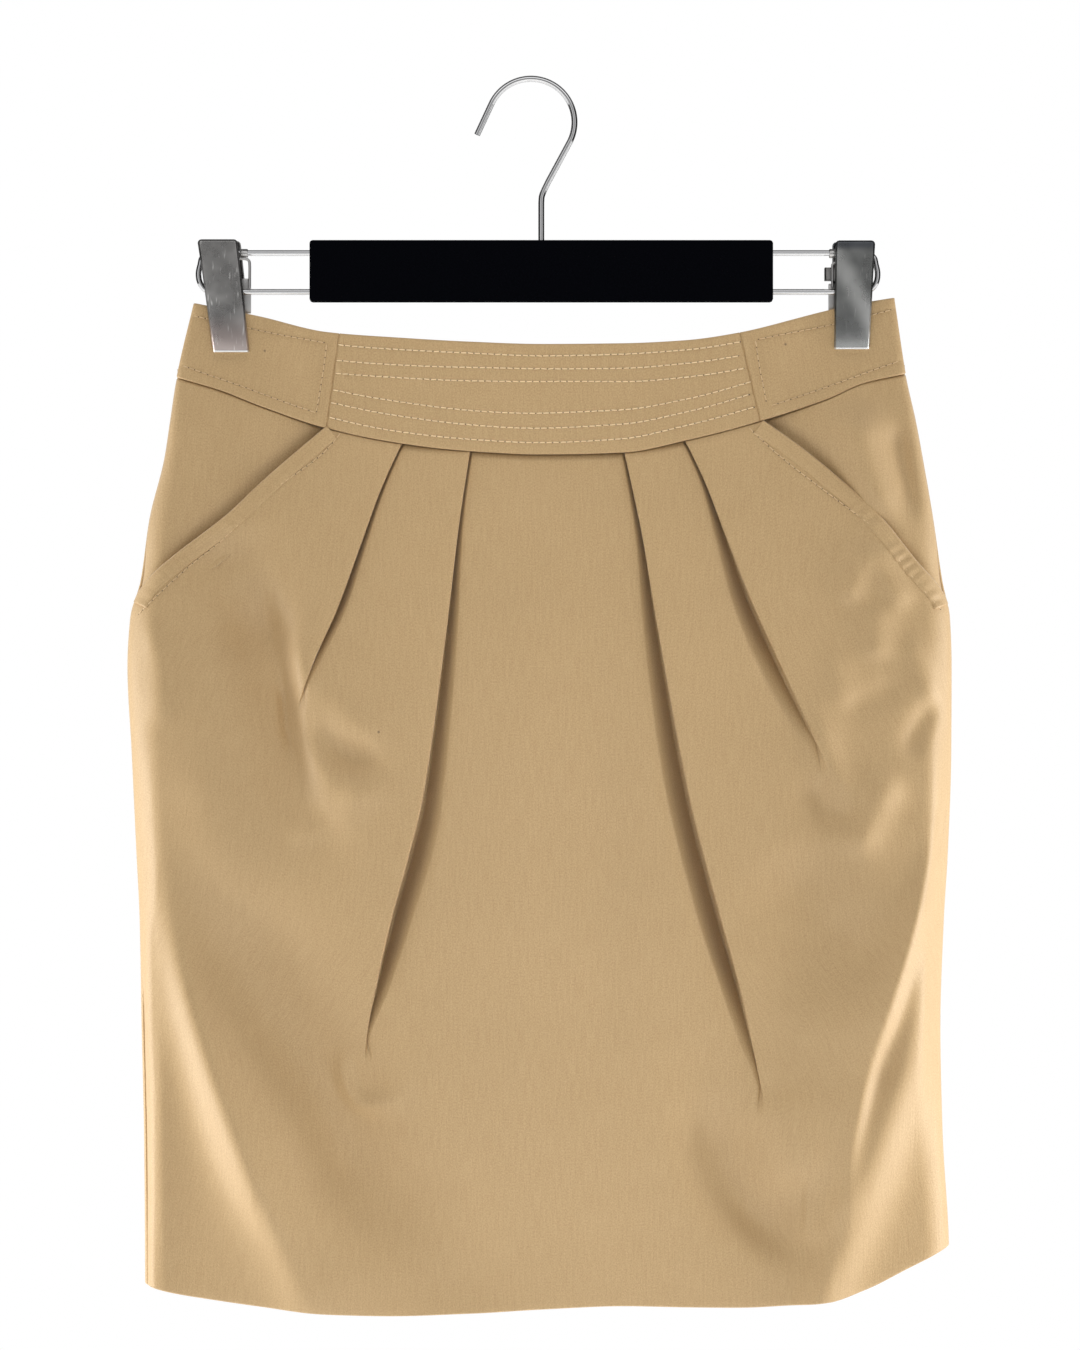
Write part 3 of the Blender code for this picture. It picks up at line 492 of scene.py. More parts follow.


# pressed steel with worn spots and scratches down it, a warm painted reflection of the cloth at the low end, a slanting
# pale painted reflection, a painted dark reflection at the top and a painted highlight along the lip: where each starts
# and ends, in metres up the plate for the warm and dark ends and in mm above its tip for the lip
plateWearAndReflections = {"worn": (0.3, 0.7, 0.72, 1.15), "scratched": (0.64, 0.72), "grain": (900, 900, 75),
             "turned": (0, 0.12, 0), "clothReflection": (-0.124, -0.138), "reflectionSlant": (34, 0, 19), "pale": (0.02, 0.34),
             "dark": (-0.0925, -0.0885), "lip": (1.2, 0.8), "rough": (0.16, 0.42)}


def plateMaterial(name, look):
    material, tree, shader = newMaterial(name)
    place = objectPlace(tree)
    height = addNode(tree, "ShaderNodeSeparateXYZ", {"Vector": place}).outputs["Z"]
    blotches = noise(tree, place, 80.0)
    lines = noise(tree, stretched(tree, place, plateWearAndReflections["grain"], plateWearAndReflections["turned"]))
    worn = ramp(tree, blotches, *plateWearAndReflections["worn"])
    colour = blend(tree, 1.0, (*look["colour"], 1), worn, "MULTIPLY")
    # warm painted reflection of the cloth toward the low end of the plate
    clothReflectionShare = ramp(tree, height, *plateWearAndReflections["clothReflection"], shape="SMOOTHSTEP")
    colour = blend(tree, clothReflectionShare, colour, (*look["clothReflection"], 1))
    # a slanting band of pale painted reflection
    reflectionSlant = addNode(tree, "ShaderNodeVectorMath", {0: place, 1: plateWearAndReflections["reflectionSlant"]}, operation="DOT_PRODUCT")
    apart = combine(tree, "ABSOLUTE", combine(tree, "SUBTRACT", reflectionSlant.outputs["Value"], look["shift"]))
    pale = ramp(tree, apart, *plateWearAndReflections["pale"], look["pale"], 0.0, "SMOOTHSTEP")
    colour = blend(tree, pale, colour, (0.95, 0.95, 0.93, 1))
    # painted dark reflection at the top of the plate
    paintedDarkTop = ramp(tree, height, *plateWearAndReflections["dark"], 0.0, look["dark"], "SMOOTHSTEP")
    colour = blend(tree, paintedDarkTop, colour, (0.12, 0.13, 0.15, 1))
    scratch = ramp(tree, lines, *plateWearAndReflections["scratched"], 0.0, look["scratched"])
    colour = blend(tree, scratch, colour, (0.98, 0.97, 0.95, 1))
    # painted highlight along the lip at the tip
    lip = ramp(tree, height, *((look["tip"] + above) * mm for above in plateWearAndReflections["lip"]))
    setInputs(tree, shader, {"Base Color": blend(tree, lip, colour, (1, 1, 1, 1)), "Metallic": 1.0,
                             "Specular Tint": (0.6, 0.6, 0.6, 1), "Normal": bumped(tree, lines, 0.12, 0.0001),
                             "Roughness": ramp(tree, blotches, 0, 1, *plateWearAndReflections["rough"])})
    return material


tan = clothMaterial("tanSatin")
steel = metalMaterial("polishedSteel", (0.74, 0.74, 0.75), 0.09)
brushedSteel = metalMaterial("brushedSteel", (0.60, 0.59, 0.58), 0.3, 0.12)
flock = flockMaterial()
paleThread = threadMaterial("paleThread", (0.95, 0.77, 0.49))
tanThread = threadMaterial("tanThread", (0.70, 0.51, 0.285))
# dark brown for the needle holes: painted shade inside the holes
needleHoleShade = threadMaterial("needleHoleShade", (0.12, 0.07, 0.03))
print("materials made")


# the front panel: pleats folded outward from the centre, slanted pocket edges, hem turned up
sideStitches = {
    "left": [[(-189, -126.3), (-172, -130), (-154.7, -133.9), (-134, -138.2), (-116.2, -141.5)],
             [(-116, -142), (-117.5, -154), (-119.5, -167), (-121.5, -179)],
             [(-122, -179.2), (-140, -173), (-160, -165.5), (-180, -158.5), (-196, -152.8)]],
    "right": [[(192, -122.5), (175, -127), (156, -131.5), (136, -135.6), (116, -139.8)],
              [(115.8, -140.2), (117.5, -152), (119.8, -164), (121.9, -175.2)],
              [(124.5, -175.4), (145, -168.5), (162, -162.4), (180, -155.8), (196, -150.2)]],
}
pocketStitches = {
    "left": [(-108.3, -190.2), (-117, -200.5), (-129, -210), (-142.5, -219.6), (-154, -230), (-164.8, -241.1),
             (-176, -251), (-188.6, -261), (-204, -275), (-217.8, -288.6)],
    "right": [(112, -187.3), (125, -199.5), (134.5, -207.5), (144.8, -215.4), (166.1, -231.4), (175, -238),
              (182.8, -245.2), (195, -261.9), (206, -275), (216.8, -286.8)],
}
frontPanel = {"rows": 130, "centreSteps": 12, "betweenSteps": 14, "outerSteps": 40, "rollSteps": 18,
              "widest": 222.0, "pocketLead": 4.0}
turnBack = {"angles": [30, 65, 100, 140, 180], "radius": 0.65, "runs": [4, 14], "hemRuns": [4, 16, 32]}
# the rows behind the band's seam: how far below it, minus for above, and how far in
allowance = {"drops": [-5, -0.6, 0.2], "insets": [2.0, 1.9, 1.1], "seamDrop": 0.6}


# pairs of outward run and inset for an edge that is turned under
def turnedUnder(runs):
    radius = turnBack["radius"]
    pairs = [(radius * math.sin(math.radians(angle)), radius * (1 - math.cos(math.radians(angle))))
             for angle in turnBack["angles"]]
    return pairs + [(-run, 2 * radius) for run in runs]


# a folded edge seen from above, from the fold in and under and out again to the floor of the pleat's mouth
def pleatSection(edge, mouth, under, turn):
    turnAngle = np.radians(turn)
    folded = turn / 180 * np.clip(under / 8, 0.12, 1)
    radius = cloth["foldRadius"] * np.clip(under / 7, 0.15, 1)
    foldLength = math.pi * radius
    state = {"out": radius.copy(), "deep": np.zeros(edge.shape), "heading": np.zeros(edge.shape)}
    columns = []

    def go(length, turned, steps):
        for step in range(steps):
            state["heading"] = state["heading"] + turned / steps / 2
            state["out"] = state["out"] - np.cos(state["heading"]) * length / steps
            state["deep"] = state["deep"] + np.sin(state["heading"]) * length / steps
            state["heading"] = state["heading"] + turned / steps / 2
            columns.append((edge + state["out"], state["deep"]))

    go(foldLength, turnAngle, 6)
    go(under, 0.0, 2)
    target = (cloth["drop"] + cloth["mouthDepth"] * mouth) * folded
    run = np.maximum(under * folded + radius, 2.0)
    dive = np.arctan2(np.maximum(target - 4 * radius, 0.0), run) * folded
    go(foldLength, dive - turnAngle, 4)
    past = -0.3 * mouth
    go(np.maximum((state["out"] - past) / np.cos(dive), 2.0), 0.0, 5)
    rise = 1.4 * mouth + 0.6
    startOut, startDeep = state["out"], state["deep"]
    riseSteps = 14
    for step in range(1, riseSteps + 1):
        share = (step / riseSteps) ** 1.3
        deep = mix(cloth["setBack"] * folded, startDeep, (1 - share) ** 1.25)
        columns.append((edge + startOut - rise * share, deep))
    return columns


# how far out from the centre the front reaches in each row: to the pocket edge, or to the side below it
def frontEnd(shares, sign):
    far = roundLength(rowLevel(np.full(shares.shape, sign * frontPanel["widest"]), shares), sign)
    near = np.full(shares.shape, pockets[sign]["round"][0] - frontPanel["pocketLead"])

    def above(distance):
        level = pocketLevel(sign, distance)
        x, _ = placeRound(distance, level, sign, "front")
        return rowLevel(x, shares) > level

    low, high = near.copy(), far.copy()
    for turnNumber in range(30):
        middle = (low + high) / 2
        isAbove = above(middle)
        low, high = np.where(isAbove, low, middle), np.where(isAbove, middle, high)
    return np.where(above(far), low, far)


# columns of half the front, from the centre out; shares, drops and insets have one value for each row
def frontHalf(sign, shares, drops, insets):
    names = ("innerLeft", "outerLeft") if sign < 0 else ("innerRight", "outerRight")
    columns = []
    start = np.zeros(shares.shape)
    startDeep = None
    for name, steps in zip(names, (frontPanel["centreSteps"], frontPanel["betweenSteps"])):
        pleat = pleats[name]
        edge = np.full(shares.shape, float(pleat["edge"][0]))
        for turnNumber in range(4):
            level = rowLevel(sign * edge, shares)
            edge = readLine(pleat["level"], pleat["edge"], level)
        mouth, under, turn = (readLine(pleat["level"], pleat[key], level) for key in ("mouth", "under", "turn"))
        section = pleatSection(edge, mouth, under, turn)
        lip, lipDeep = section[-1]
        startDeep = lipDeep if startDeep is None else startDeep
        for step in range(0 if name == names[0] else 1, steps):
            columns.append((mix(start, lip, step / steps), mix(startDeep, lipDeep, step / steps)))
        columns += section[::-1]
        columns.append((edge + cloth["foldRadius"], np.zeros(shares.shape)))
        start, startDeep = edge + cloth["foldRadius"], np.zeros(shares.shape)
    placed = []
    for out, deep in columns:
        x = sign * out
        level = rowLevel(x, shares) - drops
        placed.append((x, -halfDepth(x, level, "front") + deep + insets, level, np.ones(shares.shape)))
    end = frontEnd(shares, sign) - turnBack["radius"]
    side = rowLevel(np.full(shares.shape, sign * frontPanel["widest"]), shares)
    knee = np.minimum(sideAt(side, sign) - rollWidth(side, sign), mix(start, end, 0.9))
    outerSteps, rollSteps = frontPanel["outerSteps"], frontPanel["rollSteps"]
    stations = [mix(start, knee, (step + 1) / outerSteps) for step in range(outerSteps)]
    stations += [mix(knee, end, (step + 1) / rollSteps) for step in range(rollSteps)]
    outer = [(distance, 0.0) for distance in stations]
    outer += [(end + run, inset) for run, inset in turnedUnder(turnBack["runs"])]
    for distance, inset in outer:
        level = rowLevel(sign * distance, shares)
        for turnNumber in range(3):
            x, depth = placeRound(distance, level, sign, "front")
            level = rowLevel(x, shares)
        x, depth = placeRound(distance, level - drops, sign, "front", inset=np.maximum(insets, inset))
        placed.append((x, -depth, level - drops, freeShare(x, sideAt(level, sign))))
    return placed


# rows from the allowance behind the band's seam down to the lower edge, and then those that are turned up inside
def clothRows(count, turned=()):
    behind = len(allowance["drops"])
    shares = np.concatenate([np.zeros(behind), np.linspace(0, 1, count), np.ones(len(turned))])
    drops = np.concatenate([allowance["drops"], np.zeros(count), [run for run, inset in turned]])
    drops[behind] = allowance["seamDrop"]
    insets = np.concatenate([allowance["insets"], np.zeros(count), [inset for run, inset in turned]])
    return shares, drops, insets


# how much of the depth is left toward the side, where the cloth rounds away
def edgeShare(x, level, wall):
    side = sideOf(x, level, wall)
    roll = rollWidth(level, np.where(x < 0, -1, 1))
    return np.cos(np.arcsin(np.clip((np.abs(x) - side + roll) / roll, 0, 1)))


def panelSurface(x, level):
    relief = reliefOf(creases, x, level) * freeShare(x, sideOf(x, level))
    return -halfDepth(x, level, "front") * edgeShare(x, level, 1.0) - relief - cloth["wall"] / 2


# the turned and topstitched strip along a pocket edge, with the puckers that the stitching draws: their strength
# at lengths along the strip, and the lengths of their waves
pocketStrip = {"wide": 8.4, "lift": 0.45, "steps": 170, "columns": 12, "out": (0.5, 243, 400), "short": 1.5}
puckers = {-1: ([0, 150], [0.1, 0.16]), 1: ([0, 55, 75, 150], [0.05, 0.1, 0.34, 0.36]),
           "pitch": 6.4, "drift": 9, "swell": 5.3}


def makePocketStrip(sign):
    lead, furthest, count = pocketStrip["out"]
    distance = np.linspace(pockets[sign]["round"][0] + lead, furthest, count)
    level = pocketLevel(sign, distance)
    distance = distance[distance < roundLength(level, sign) - pocketStrip["short"]]
    level = pocketLevel(sign, distance)
    x, _ = placeRound(distance, level, sign, "front")
    run = np.concatenate([[0], np.cumsum(np.hypot(np.diff(x), np.diff(level)))])
    along = np.linspace(0, run[-1], pocketStrip["steps"])
    x, level = np.interp(along, run, x), np.interp(along, run, level)
    slopeX, slopeZ = np.gradient(x), np.gradient(level)
    length = np.hypot(slopeX, slopeZ)
    inX, inZ = slopeZ / length * sign, -slopeX / length * sign
    x, level, along, inX, inZ = (values[:, None] for values in (x, level, along, inX, inZ))
    share = np.concatenate([[-0.05, -0.02], np.linspace(0.01, 1, pocketStrip["columns"])])[None, :]
    placeX = x + inX * share * pocketStrip["wide"]
    placeZ = level + inZ * share * pocketStrip["wide"]
    wave = np.sin(along / puckers["pitch"] * 2 * math.pi + 2.6 * np.sin(along / puckers["drift"]) + share * 1.6)
    wave = wave * (0.75 + 0.45 * np.sin(along / puckers["swell"]))
    onCloth = np.clip(share, 0, 1)
    rise = pocketStrip["lift"] * (1 - onCloth ** 5)
    rise = rise + np.interp(along, *puckers[sign]) * wave * np.sin(onCloth * 2.6)
    rise = rise - 0.5 * (share > 0.999) - np.where(share < -0.03, 1.0, np.where(share < 0, 0.2, 0))
    return clothGrid("pocketHem", placeX, panelSurface(placeX, placeZ) - rise, placeZ)


def makeFront():
    rows = clothRows(frontPanel["rows"], turnedUnder(turnBack["hemRuns"]))
    columns = frontHalf(-1, *rows)[:0:-1] + frontHalf(1, *rows)
    x, y, z, free = (np.stack([column[i] for column in columns], axis=1) for i in range(4))
    y = y - reliefOf(creases, x, z) * free - reliefOf(sideLines, x, z)
    piece = joinPieces("frontPanel", [clothGrid("frontPanel", x, y, z), makePocketStrip(-1), makePocketStrip(1)])
    return dress(thicken(piece, cloth["wall"]), tan, "front_panel")


front = makeFront()
print("front panel made")


# the hip pieces behind the pocket edges: how far they start inside the pocket and end past its edge, how they tuck
# in under that edge and are hollow along it, and the level where the edge meets the side and they step in
hips = {"rows": 60, "columns": 70, "inside": 18.0, "past": 22.5, "innerOver": 30, "tuck": (0.4, 2.7),
        "tuckFrom": 32, "tuckOver": 26, "sideTuck": 0.45, "hollow": 3.4, "hollowFrom": 2, "hollowOver": 15,
        "meets": {-1: -273.0, 1: -283.0}}
hipCreases = [
    crease(8, (16, 12), (0.1, 0.5), (168, -170), (172, -190), (177, -212), (185, -234), (189, -246)),
    crease(-4.5, (9, 7), (0.1, 0.2), (193, -180), (197, -205), (200, -226), (203, -240)),
    crease(-1.6, (14, 12), (0.2, 0.1), (-170, -178), (-160, -200), (-166, -224)),
]


def makeHip(sign, name, node):
    shares, drops, insets = clothRows(hips["rows"])
    share = shares[:, None] * np.ones((1, hips["columns"]))
    step = np.ones((len(shares), 1)) * np.linspace(0, 1, hips["columns"])[None, :]
    start = pockets[sign]["round"][0] - hips["inside"]
    level = np.full(share.shape, -200.0)
    for turnNumber in range(6):
        distance = mix(start, roundLength(level, sign) - 0.1, step)
        edgeLevel = pocketLevel(sign, distance)
        seam = seamLevel(sign * np.minimum(distance, sideAt(level, sign)))
        level = mix(seam, edgeLevel - hips["past"], share)
    side = sideAt(level, sign)
    inner = smooth((side - distance) / hips["innerOver"])
    under = smooth((edgeLevel + hips["tuckFrom"] - level) / hips["tuckOver"]) * mix(hips["sideTuck"], 1.0, inner)
    sunk = hips["hollow"] * (1 - smooth((level - edgeLevel + hips["hollowFrom"]) / hips["hollowOver"])) * inner
    meets = np.full(level.shape, hips["meets"][sign])
    stepIn = np.where(level < meets, np.maximum(side - sideAt(meets, sign), 0), 0)
    x, depth = placeRound(distance, level, sign, "front", inset=mix(*hips["tuck"], under) + stepIn)
    depth = depth - np.minimum(sunk, depth * 0.4) - np.minimum(insets[:, None], depth * 0.6)
    y = -np.maximum(depth, cloth["sideGap"]) - reliefOf(hipCreases, x, level) * freeShare(x, side)
    level = level - drops[:, None]
    if sign < 0:
        x, y, level = x[:, ::-1], y[:, ::-1], level[:, ::-1]
    return dress(thicken(clothGrid(name, x, y, level), cloth["wall"]), tan, node)


hipLeft = makeHip(-1, "hipLeft", "hip_left")
hipRight = makeHip(1, "hipRight", "hip_right")

# the back panels, whose hem hangs a little higher in the middle
backPanel = {"rows": 110, "flatSteps": 70, "rollSteps": 14, "seamRuns": [10], "hemUp": 4, "hemWidth": 225}
backCreases = [
    crease(-6, (18, 14), (0.2, 0.1), (-60, -215), (-95, -300), (-110, -380)),
    crease(-5, (14, 18), (0.2, 0.1), (75, -220), (105, -320), (118, -400)),
    crease(8, (24, 16), (0.2, 0.3), (-196, -390), (-170, -500), (-138, -640)),
    crease(7, (14, 26), (0.2, 0.3), (192, -380), (168, -500), (140, -640)),
    crease(-5, (20, 20), (0.1, 0.1), (-60, -420), (-40, -560), (-46, -650)),
    crease(-5, (20, 20), (0.1, 0.1), (70, -440), (58, -560), (66, -650)),
]


def makeBack(sign, name, node):
    rows = clothRows(backPanel["rows"], turnedUnder(turnBack["hemRuns"]))
    share, drop, inset = (values[:, None] for values in rows)
    turned = turnedUnder(backPanel["seamRuns"])
    flatSteps, rollSteps = backPanel["flatSteps"], backPanel["rollSteps"]
    steps = [(-run, tuck, "start") for run, tuck in turned[::-1]]
    steps += [(number / flatSteps, 0.0, "flat") for number in range(flatSteps + 1)]
    steps += [(number / rollSteps, 0.0, "roll") for number in range(1, rollSteps + 1)]
    steps += [(run, tuck, "end") for run, tuck in turned]
    first = cloth["seamGap"] / 2 + turnBack["radius"]
    columns = []
    for value, tuck, kind in steps:
        level = np.full(share.shape, -400.0)
        for turnNumber in range(5):
            end = roundLength(level, sign) - turnBack["radius"]
            knee = sideAt(level, sign) - rollWidth(level, sign)
            distance = {"start": first + value, "flat": mix(first, knee, value), "roll": mix(knee, end, value),
                        "end": end + value}[kind]
            x, _ = placeRound(distance, level, sign, "back", inset=np.maximum(inset, tuck))
            hem = line("hem", x) + backPanel["hemUp"] * (1 - (x / backPanel["hemWidth"]) ** 2)
            level = mix(seamLevel(x), hem, share)
        x, depth = placeRound(distance, level - drop, sign, "back", inset=np.maximum(inset, tuck))
        columns.append((x, depth, level - drop, freeShare(x, sideAt(level, sign))))
    x, y, z, free = (np.concatenate([np.broadcast_to(column[i], share.shape) for column in columns], axis=1)
                     for i in range(4))
    y = y + reliefOf(backCreases, x, z) * free
    if sign > 0:
        x, y, z = x[:, ::-1], y[:, ::-1], z[:, ::-1]
    return dress(thicken(clothGrid(name, x, y, z), cloth["wall"]), tan, node)


backLeft = makeBack(-1, "backLeft", "back_left")
backRight = makeBack(1, "backRight", "back_right")
print("hips and back made")


# the waistband: where its front joints are at the top and at the seam, and its six rows of stitching as shares
# down the band at the left, in the middle and at the right
bandCuts = {-1: (-109.2, -116.1), 1: (107.3, 118.2)}
stitchLines = [(0.115, 0.105, 0.097), (0.28, 0.226, 0.249), (0.414, 0.343, 0.394),
               (0.586, 0.625, 0.551), (0.718, 0.758, 0.678), (0.875, 0.888, 0.825)]
# how deep and wide the stitching draws its grooves, how tall the band is, how far its centre piece reaches, and how
# much lower its back is in the middle
band = {"deep": 0.45, "wide": 0.9, "sideDeep": 0.38, "sideWide": 1.3, "tall": 58, "centre": 111,
        "backDrop": 3, "backWidth": 190}


def stitchShare(shares, x):
    t = np.clip(x / 110, -1, 1)
    left, middle, right = shares
    return middle + (right - left) / 2 * t + ((right + left) / 2 - middle) * t * t


# closed section of the band: share down the band and inset, round the outside, under and up the inside
def bandSection(rows):
    half = cloth["bandWall"] / 2
    section = [(share, -half) for share in np.linspace(0.012, 0.988, rows)]
    section += [(0.997, -half * 0.6), (1.0, 0.0), (0.997, half * 0.6)]
    section += [(share, half) for share in np.linspace(0.988, 0.012, 8)]
    section += [(0.003, half * 0.6), (0.0, 0.0), (0.003, -half * 0.6)]
    return np.array(section)


# a piece of the band from a joint to the side, or with no sign the one between the joints
def makeBand(name, node, column, sign, steps, rows, grooves):
    section = bandSection(rows)
    share, inset = section[:, 0:1], section[:, 1:2]
    gap, wall = cloth["seamGap"] / 2, cloth["bandWall"]
    if sign:
        start = (abs(mix(*bandCuts[sign], share)) if column == "front" else 0.0) + gap
    else:
        start, end = mix(*bandCuts[-1], share) + gap, mix(*bandCuts[1], share) - gap
    closing = [(0.0, 0.05), (0.12, 0.55), (0.4, 0.9), (1.0, 1.0)]
    wheres = [("near", value, thick) for value, thick in closing]
    wheres += [("along", number / steps, 1.0) for number in range(1, steps)]
    wheres += [("far", value, thick) for value, thick in closing[::-1]]
    columns = []
    for kind, value, thick in wheres:
        level = np.full(share.shape, -150.0)
        for turnNumber in range(5):
            if sign:
                end = roundLength(level, sign, wall)
            where = {"near": start + value, "along": mix(start + 1.0, end - 1.0, value), "far": end - value}[kind]
            if sign:
                x, depth = placeRound(where, level, sign, column, wall, inset * thick)
            else:
                x = where
                depth = np.where(x < 0, placeRound(-x, level, -1, column, wall, inset * thick)[1],
                                 placeRound(x, level, 1, column, wall, inset * thick)[1])
            drop = band["backDrop"] * (1 - (x / band["backWidth"]) ** 2) if column == "back" else 0.0
            level = mix(line("top", x) - drop, line("seam", x) + gap, share)
        columns.append((x, depth, level))
    x, depth, z = (np.concatenate([np.broadcast_to(item[i], share.shape) for item in columns], axis=1)
                   for i in range(3))
    outside = inset < -0.5
    depth = np.maximum(depth - np.where(outside, grooves(x, z, share + 0 * x), 0), 0.05)
    piece = clothGrid(name, x, depth if column == "back" else -depth, z, closed=True)
    faceOutward(piece)
    dress(piece, tan, node)


bandMarks = [
    crease(0.8, (1.7, 1.0), (0, 0), (-106.6, -150.4), (-102.6, -157.6), (-98.2, -165.6)),
    crease(0.9, (1.8, 1.0), (0, 0), (-111.0, -150.8), (-107.4, -157.6), (-103.4, -164.8)),
]


def centreGrooves(x, z, share):
    sunk = -reliefOf(bandMarks, x, z)
    for shares in stitchLines:
        sunk += band["deep"] * np.exp(-((share - stitchShare(shares, x)) * band["tall"] / band["wide"]) ** 2)
    return sunk


def sideGrooves(x, z, share):
    sunk = np.zeros(x.shape)
    for points in sideStitches["left"] + sideStitches["right"]:
        apart, _, _ = fromPath(x, z, curvedPath(points, 3))
        sunk = np.maximum(sunk, band["sideDeep"] * np.exp(-(apart / band["sideWide"]) ** 2))
    return sunk


def noGrooves(x, z, share):
    return np.zeros(x.shape)


makeBand("bandCentre", "band_front_centre", "front", 0, 240, 64, centreGrooves)
makeBand("bandLeft", "band_side_left", "front", -1, 88, 44, sideGrooves)
makeBand("bandRight", "band_side_right", "front", 1, 88, 44, sideGrooves)


# the turned-in edges behind the joints of the front band
def makeJoin(sign):
    share = np.linspace(0.005, 0.985, 30)[:, None] * np.ones((1, 6))
    x = mix(*bandCuts[sign], share) + np.array([[-5, -0.3, -0.18, 0.18, 0.3, 5]])
    level = mix(line("top", x), line("seam", x), share)
    depth = cloth["bandWall"] * np.array([[0.72, 0.72, 0.02, 0.02, 0.72, 0.72]])
    return clothGrid("bandJoin", x, -halfDepth(x, level, "front") + depth, level)


dress(thicken(joinPieces("bandJoins", [makeJoin(-1), makeJoin(1)]), 0.6), tan)
makeBand("bandBackLeft", "band_back_left", "back", -1, 60, 20, noGrooves)
makeBand("bandBackRight", "band_back_right", "back", 1, 60, 20, noGrooves)
print("waistband made")


def bandSurface(x, level):
    share = (line("top", x) - level) / (line("top", x) - line("seam", x))
    sunk = np.where(np.abs(x) < band["centre"], centreGrooves(x, level, share), sideGrooves(x, level, share))
    wall = cloth["bandWall"]
    return -(halfDepth(x, level, "front") + wall / 2) * edgeShare(x, level, wall) + sunk


# places along a line drawn on the front, with the way out of the cloth at each
def onFront(points, surface, steps=14):
    path = curvedPath(points, steps)
    x, level = path[:, 0], path[:, 1]
    y = surface(x, level)
    near = 0.3
    slopeX = (surface(x + near, level) - surface(x - near, level)) / (2 * near)
    slopeZ = (surface(x, level + near) - surface(x, level - near)) / (2 * near)
    out = np.stack([slopeX, -np.ones(len(x)), slopeZ], axis=1)
    out /= np.linalg.norm(out, axis=1)[:, None]
    return np.stack([x, y, level], axis=1), out


threads = {"pitch": 3.7, "length": 3.15, "across": 0.62, "sides": 6}


# short rounded threads end to end along the lines, dipping into the cloth at their ends
def makeStitches(name, runs, material, length=threads["length"], across=threads["across"], shift=0.0, lift=0.26):
    random = np.random.default_rng(len(name))
    sides = threads["sides"]
    ringPlaces = np.array([-0.5, -0.4, 0.0, 0.4, 0.5])
    ringWidths = np.array([0.45, 0.85, 1.0, 0.85, 0.45])
    ringLifts = np.array([-0.7, -0.1, 0.25, -0.1, -0.7])
    turns = np.arange(sides) * 2 * math.pi / sides
    vertices, faces = [], []
    for places, outs in runs:
        run = np.concatenate([[0], np.cumsum(np.linalg.norm(np.diff(places, axis=0), axis=1))])
        middles = np.arange(threads["pitch"] * (0.5 + shift), run[-1] - length / 2, threads["pitch"])
        for middle in middles:
            middle += random.normal(0, 0.12)
            near = [middle - length / 2, middle + length / 2]
            start, end = (np.array([np.interp(at, run, places[:, i]) for i in range(3)]) for at in near)
            out = np.array([np.interp(middle, run, outs[:, i]) for i in range(3)])
            along = (end - start) / np.linalg.norm(end - start)
            beside = np.cross(along, out)
            along = along + beside * random.normal(0, 0.05)
            centre = (start + end) / 2 + out * lift
            first = len(vertices)
            for place, width, rise in zip(ringPlaces, ringWidths, ringLifts):
                ringCentre = centre + along * place * length + out * rise * across / 2
                for turn in turns:
                    vertices.append((ringCentre + (beside * math.cos(turn) + out * math.sin(turn))
                                     * width * across / 2) * mm)
            for ringNumber in range(4):
                for i in range(sides):
                    a, b = first + ringNumber * sides + i, first + ringNumber * sides + (i + 1) % sides
                    faces.append((a, b, b + sides, a + sides))
            faces.append(tuple(first + i for i in range(sides))[::-1])
            faces.append(tuple(first + 4 * sides + i for i in range(sides)))
    mesh = bpy.data.meshes.new(name)
    mesh.from_pydata([tuple(vertex) for vertex in vertices], [], faces)
    mesh.update()
    mesh.shade_smooth()
    piece = addObject(name, mesh)
    faceOutward(piece)
    dress(piece, material)


def bandLine(shares):
    x = np.linspace(-116, 118, 42)
    x = np.clip(x, -108.8 - 6.6 * shares[1], 106.8 + 10.4 * shares[1])
    wobble = 0.25 * np.sin(x / 17 + 40 * shares[1])
    level = line("top", x) + (line("seam", x) - line("top", x)) * stitchShare(shares, x) + wobble
    return list(zip(x, level))


bandRuns = [onFront(bandLine(shares), bandSurface, 3) for shares in stitchLines]
sideRuns = [onFront(points, bandSurface) for lines in sideStitches.values() for points in lines]
pocketRuns = [onFront(points, panelSurface) for points in pocketStitches.values()]
makeStitches("bandStitches", bandRuns, paleThread)
makeStitches("sideStitches", sideRuns, tanThread)
makeStitches("pocketStitches", pocketRuns, tanThread)
# dark dots sunk between the stitches: painted shade of the needle holes
makeStitches("bandHoles", bandRuns + sideRuns + pocketRuns, needleHoleShade, length=0.85, across=0.7, shift=0.5,
             lift=-0.12)
print("stitches made")


def applyAll(piece):
    makeOnly(piece)
    for modifier in list(piece.modifiers):
        bpy.ops.object.modifier_apply(modifier=modifier.name)


def addCube(name, size, place):
    bpy.ops.object.select_all(action="DESELECT")
    bpy.ops.mesh.primitive_cube_add(size=1, location=[value * mm for value in place],
                                    scale=[value * mm for value in size])
    piece = bpy.context.object
    piece.name = name
    bpy.ops.object.transform_apply(location=True, rotation=True, scale=True)
    return piece


# selects the vertices, edges or faces whose middle passes the test, in mm, and goes into edit mode
def editWhere(piece, kind, test):
    makeOnly(piece)
    bpy.ops.object.mode_set(mode="EDIT")
    bpy.ops.mesh.select_mode(type=kind)
    bpy.ops.mesh.select_all(action="DESELECT")
    shape = bmesh.from_edit_mesh(piece.data)
    found = {"VERT": shape.verts, "EDGE": shape.edges, "FACE": shape.faces}[kind]
    for item in found:
        corners = [item.co] if kind == "VERT" else [vertex.co for vertex in item.verts]
        if test([corner / mm for corner in corners]):
            item.select_set(True)
    shape.select_flush_mode()
    bmesh.update_edit_mesh(piece.data)


def leaveEdit():
    bpy.ops.object.mode_set(mode="OBJECT")


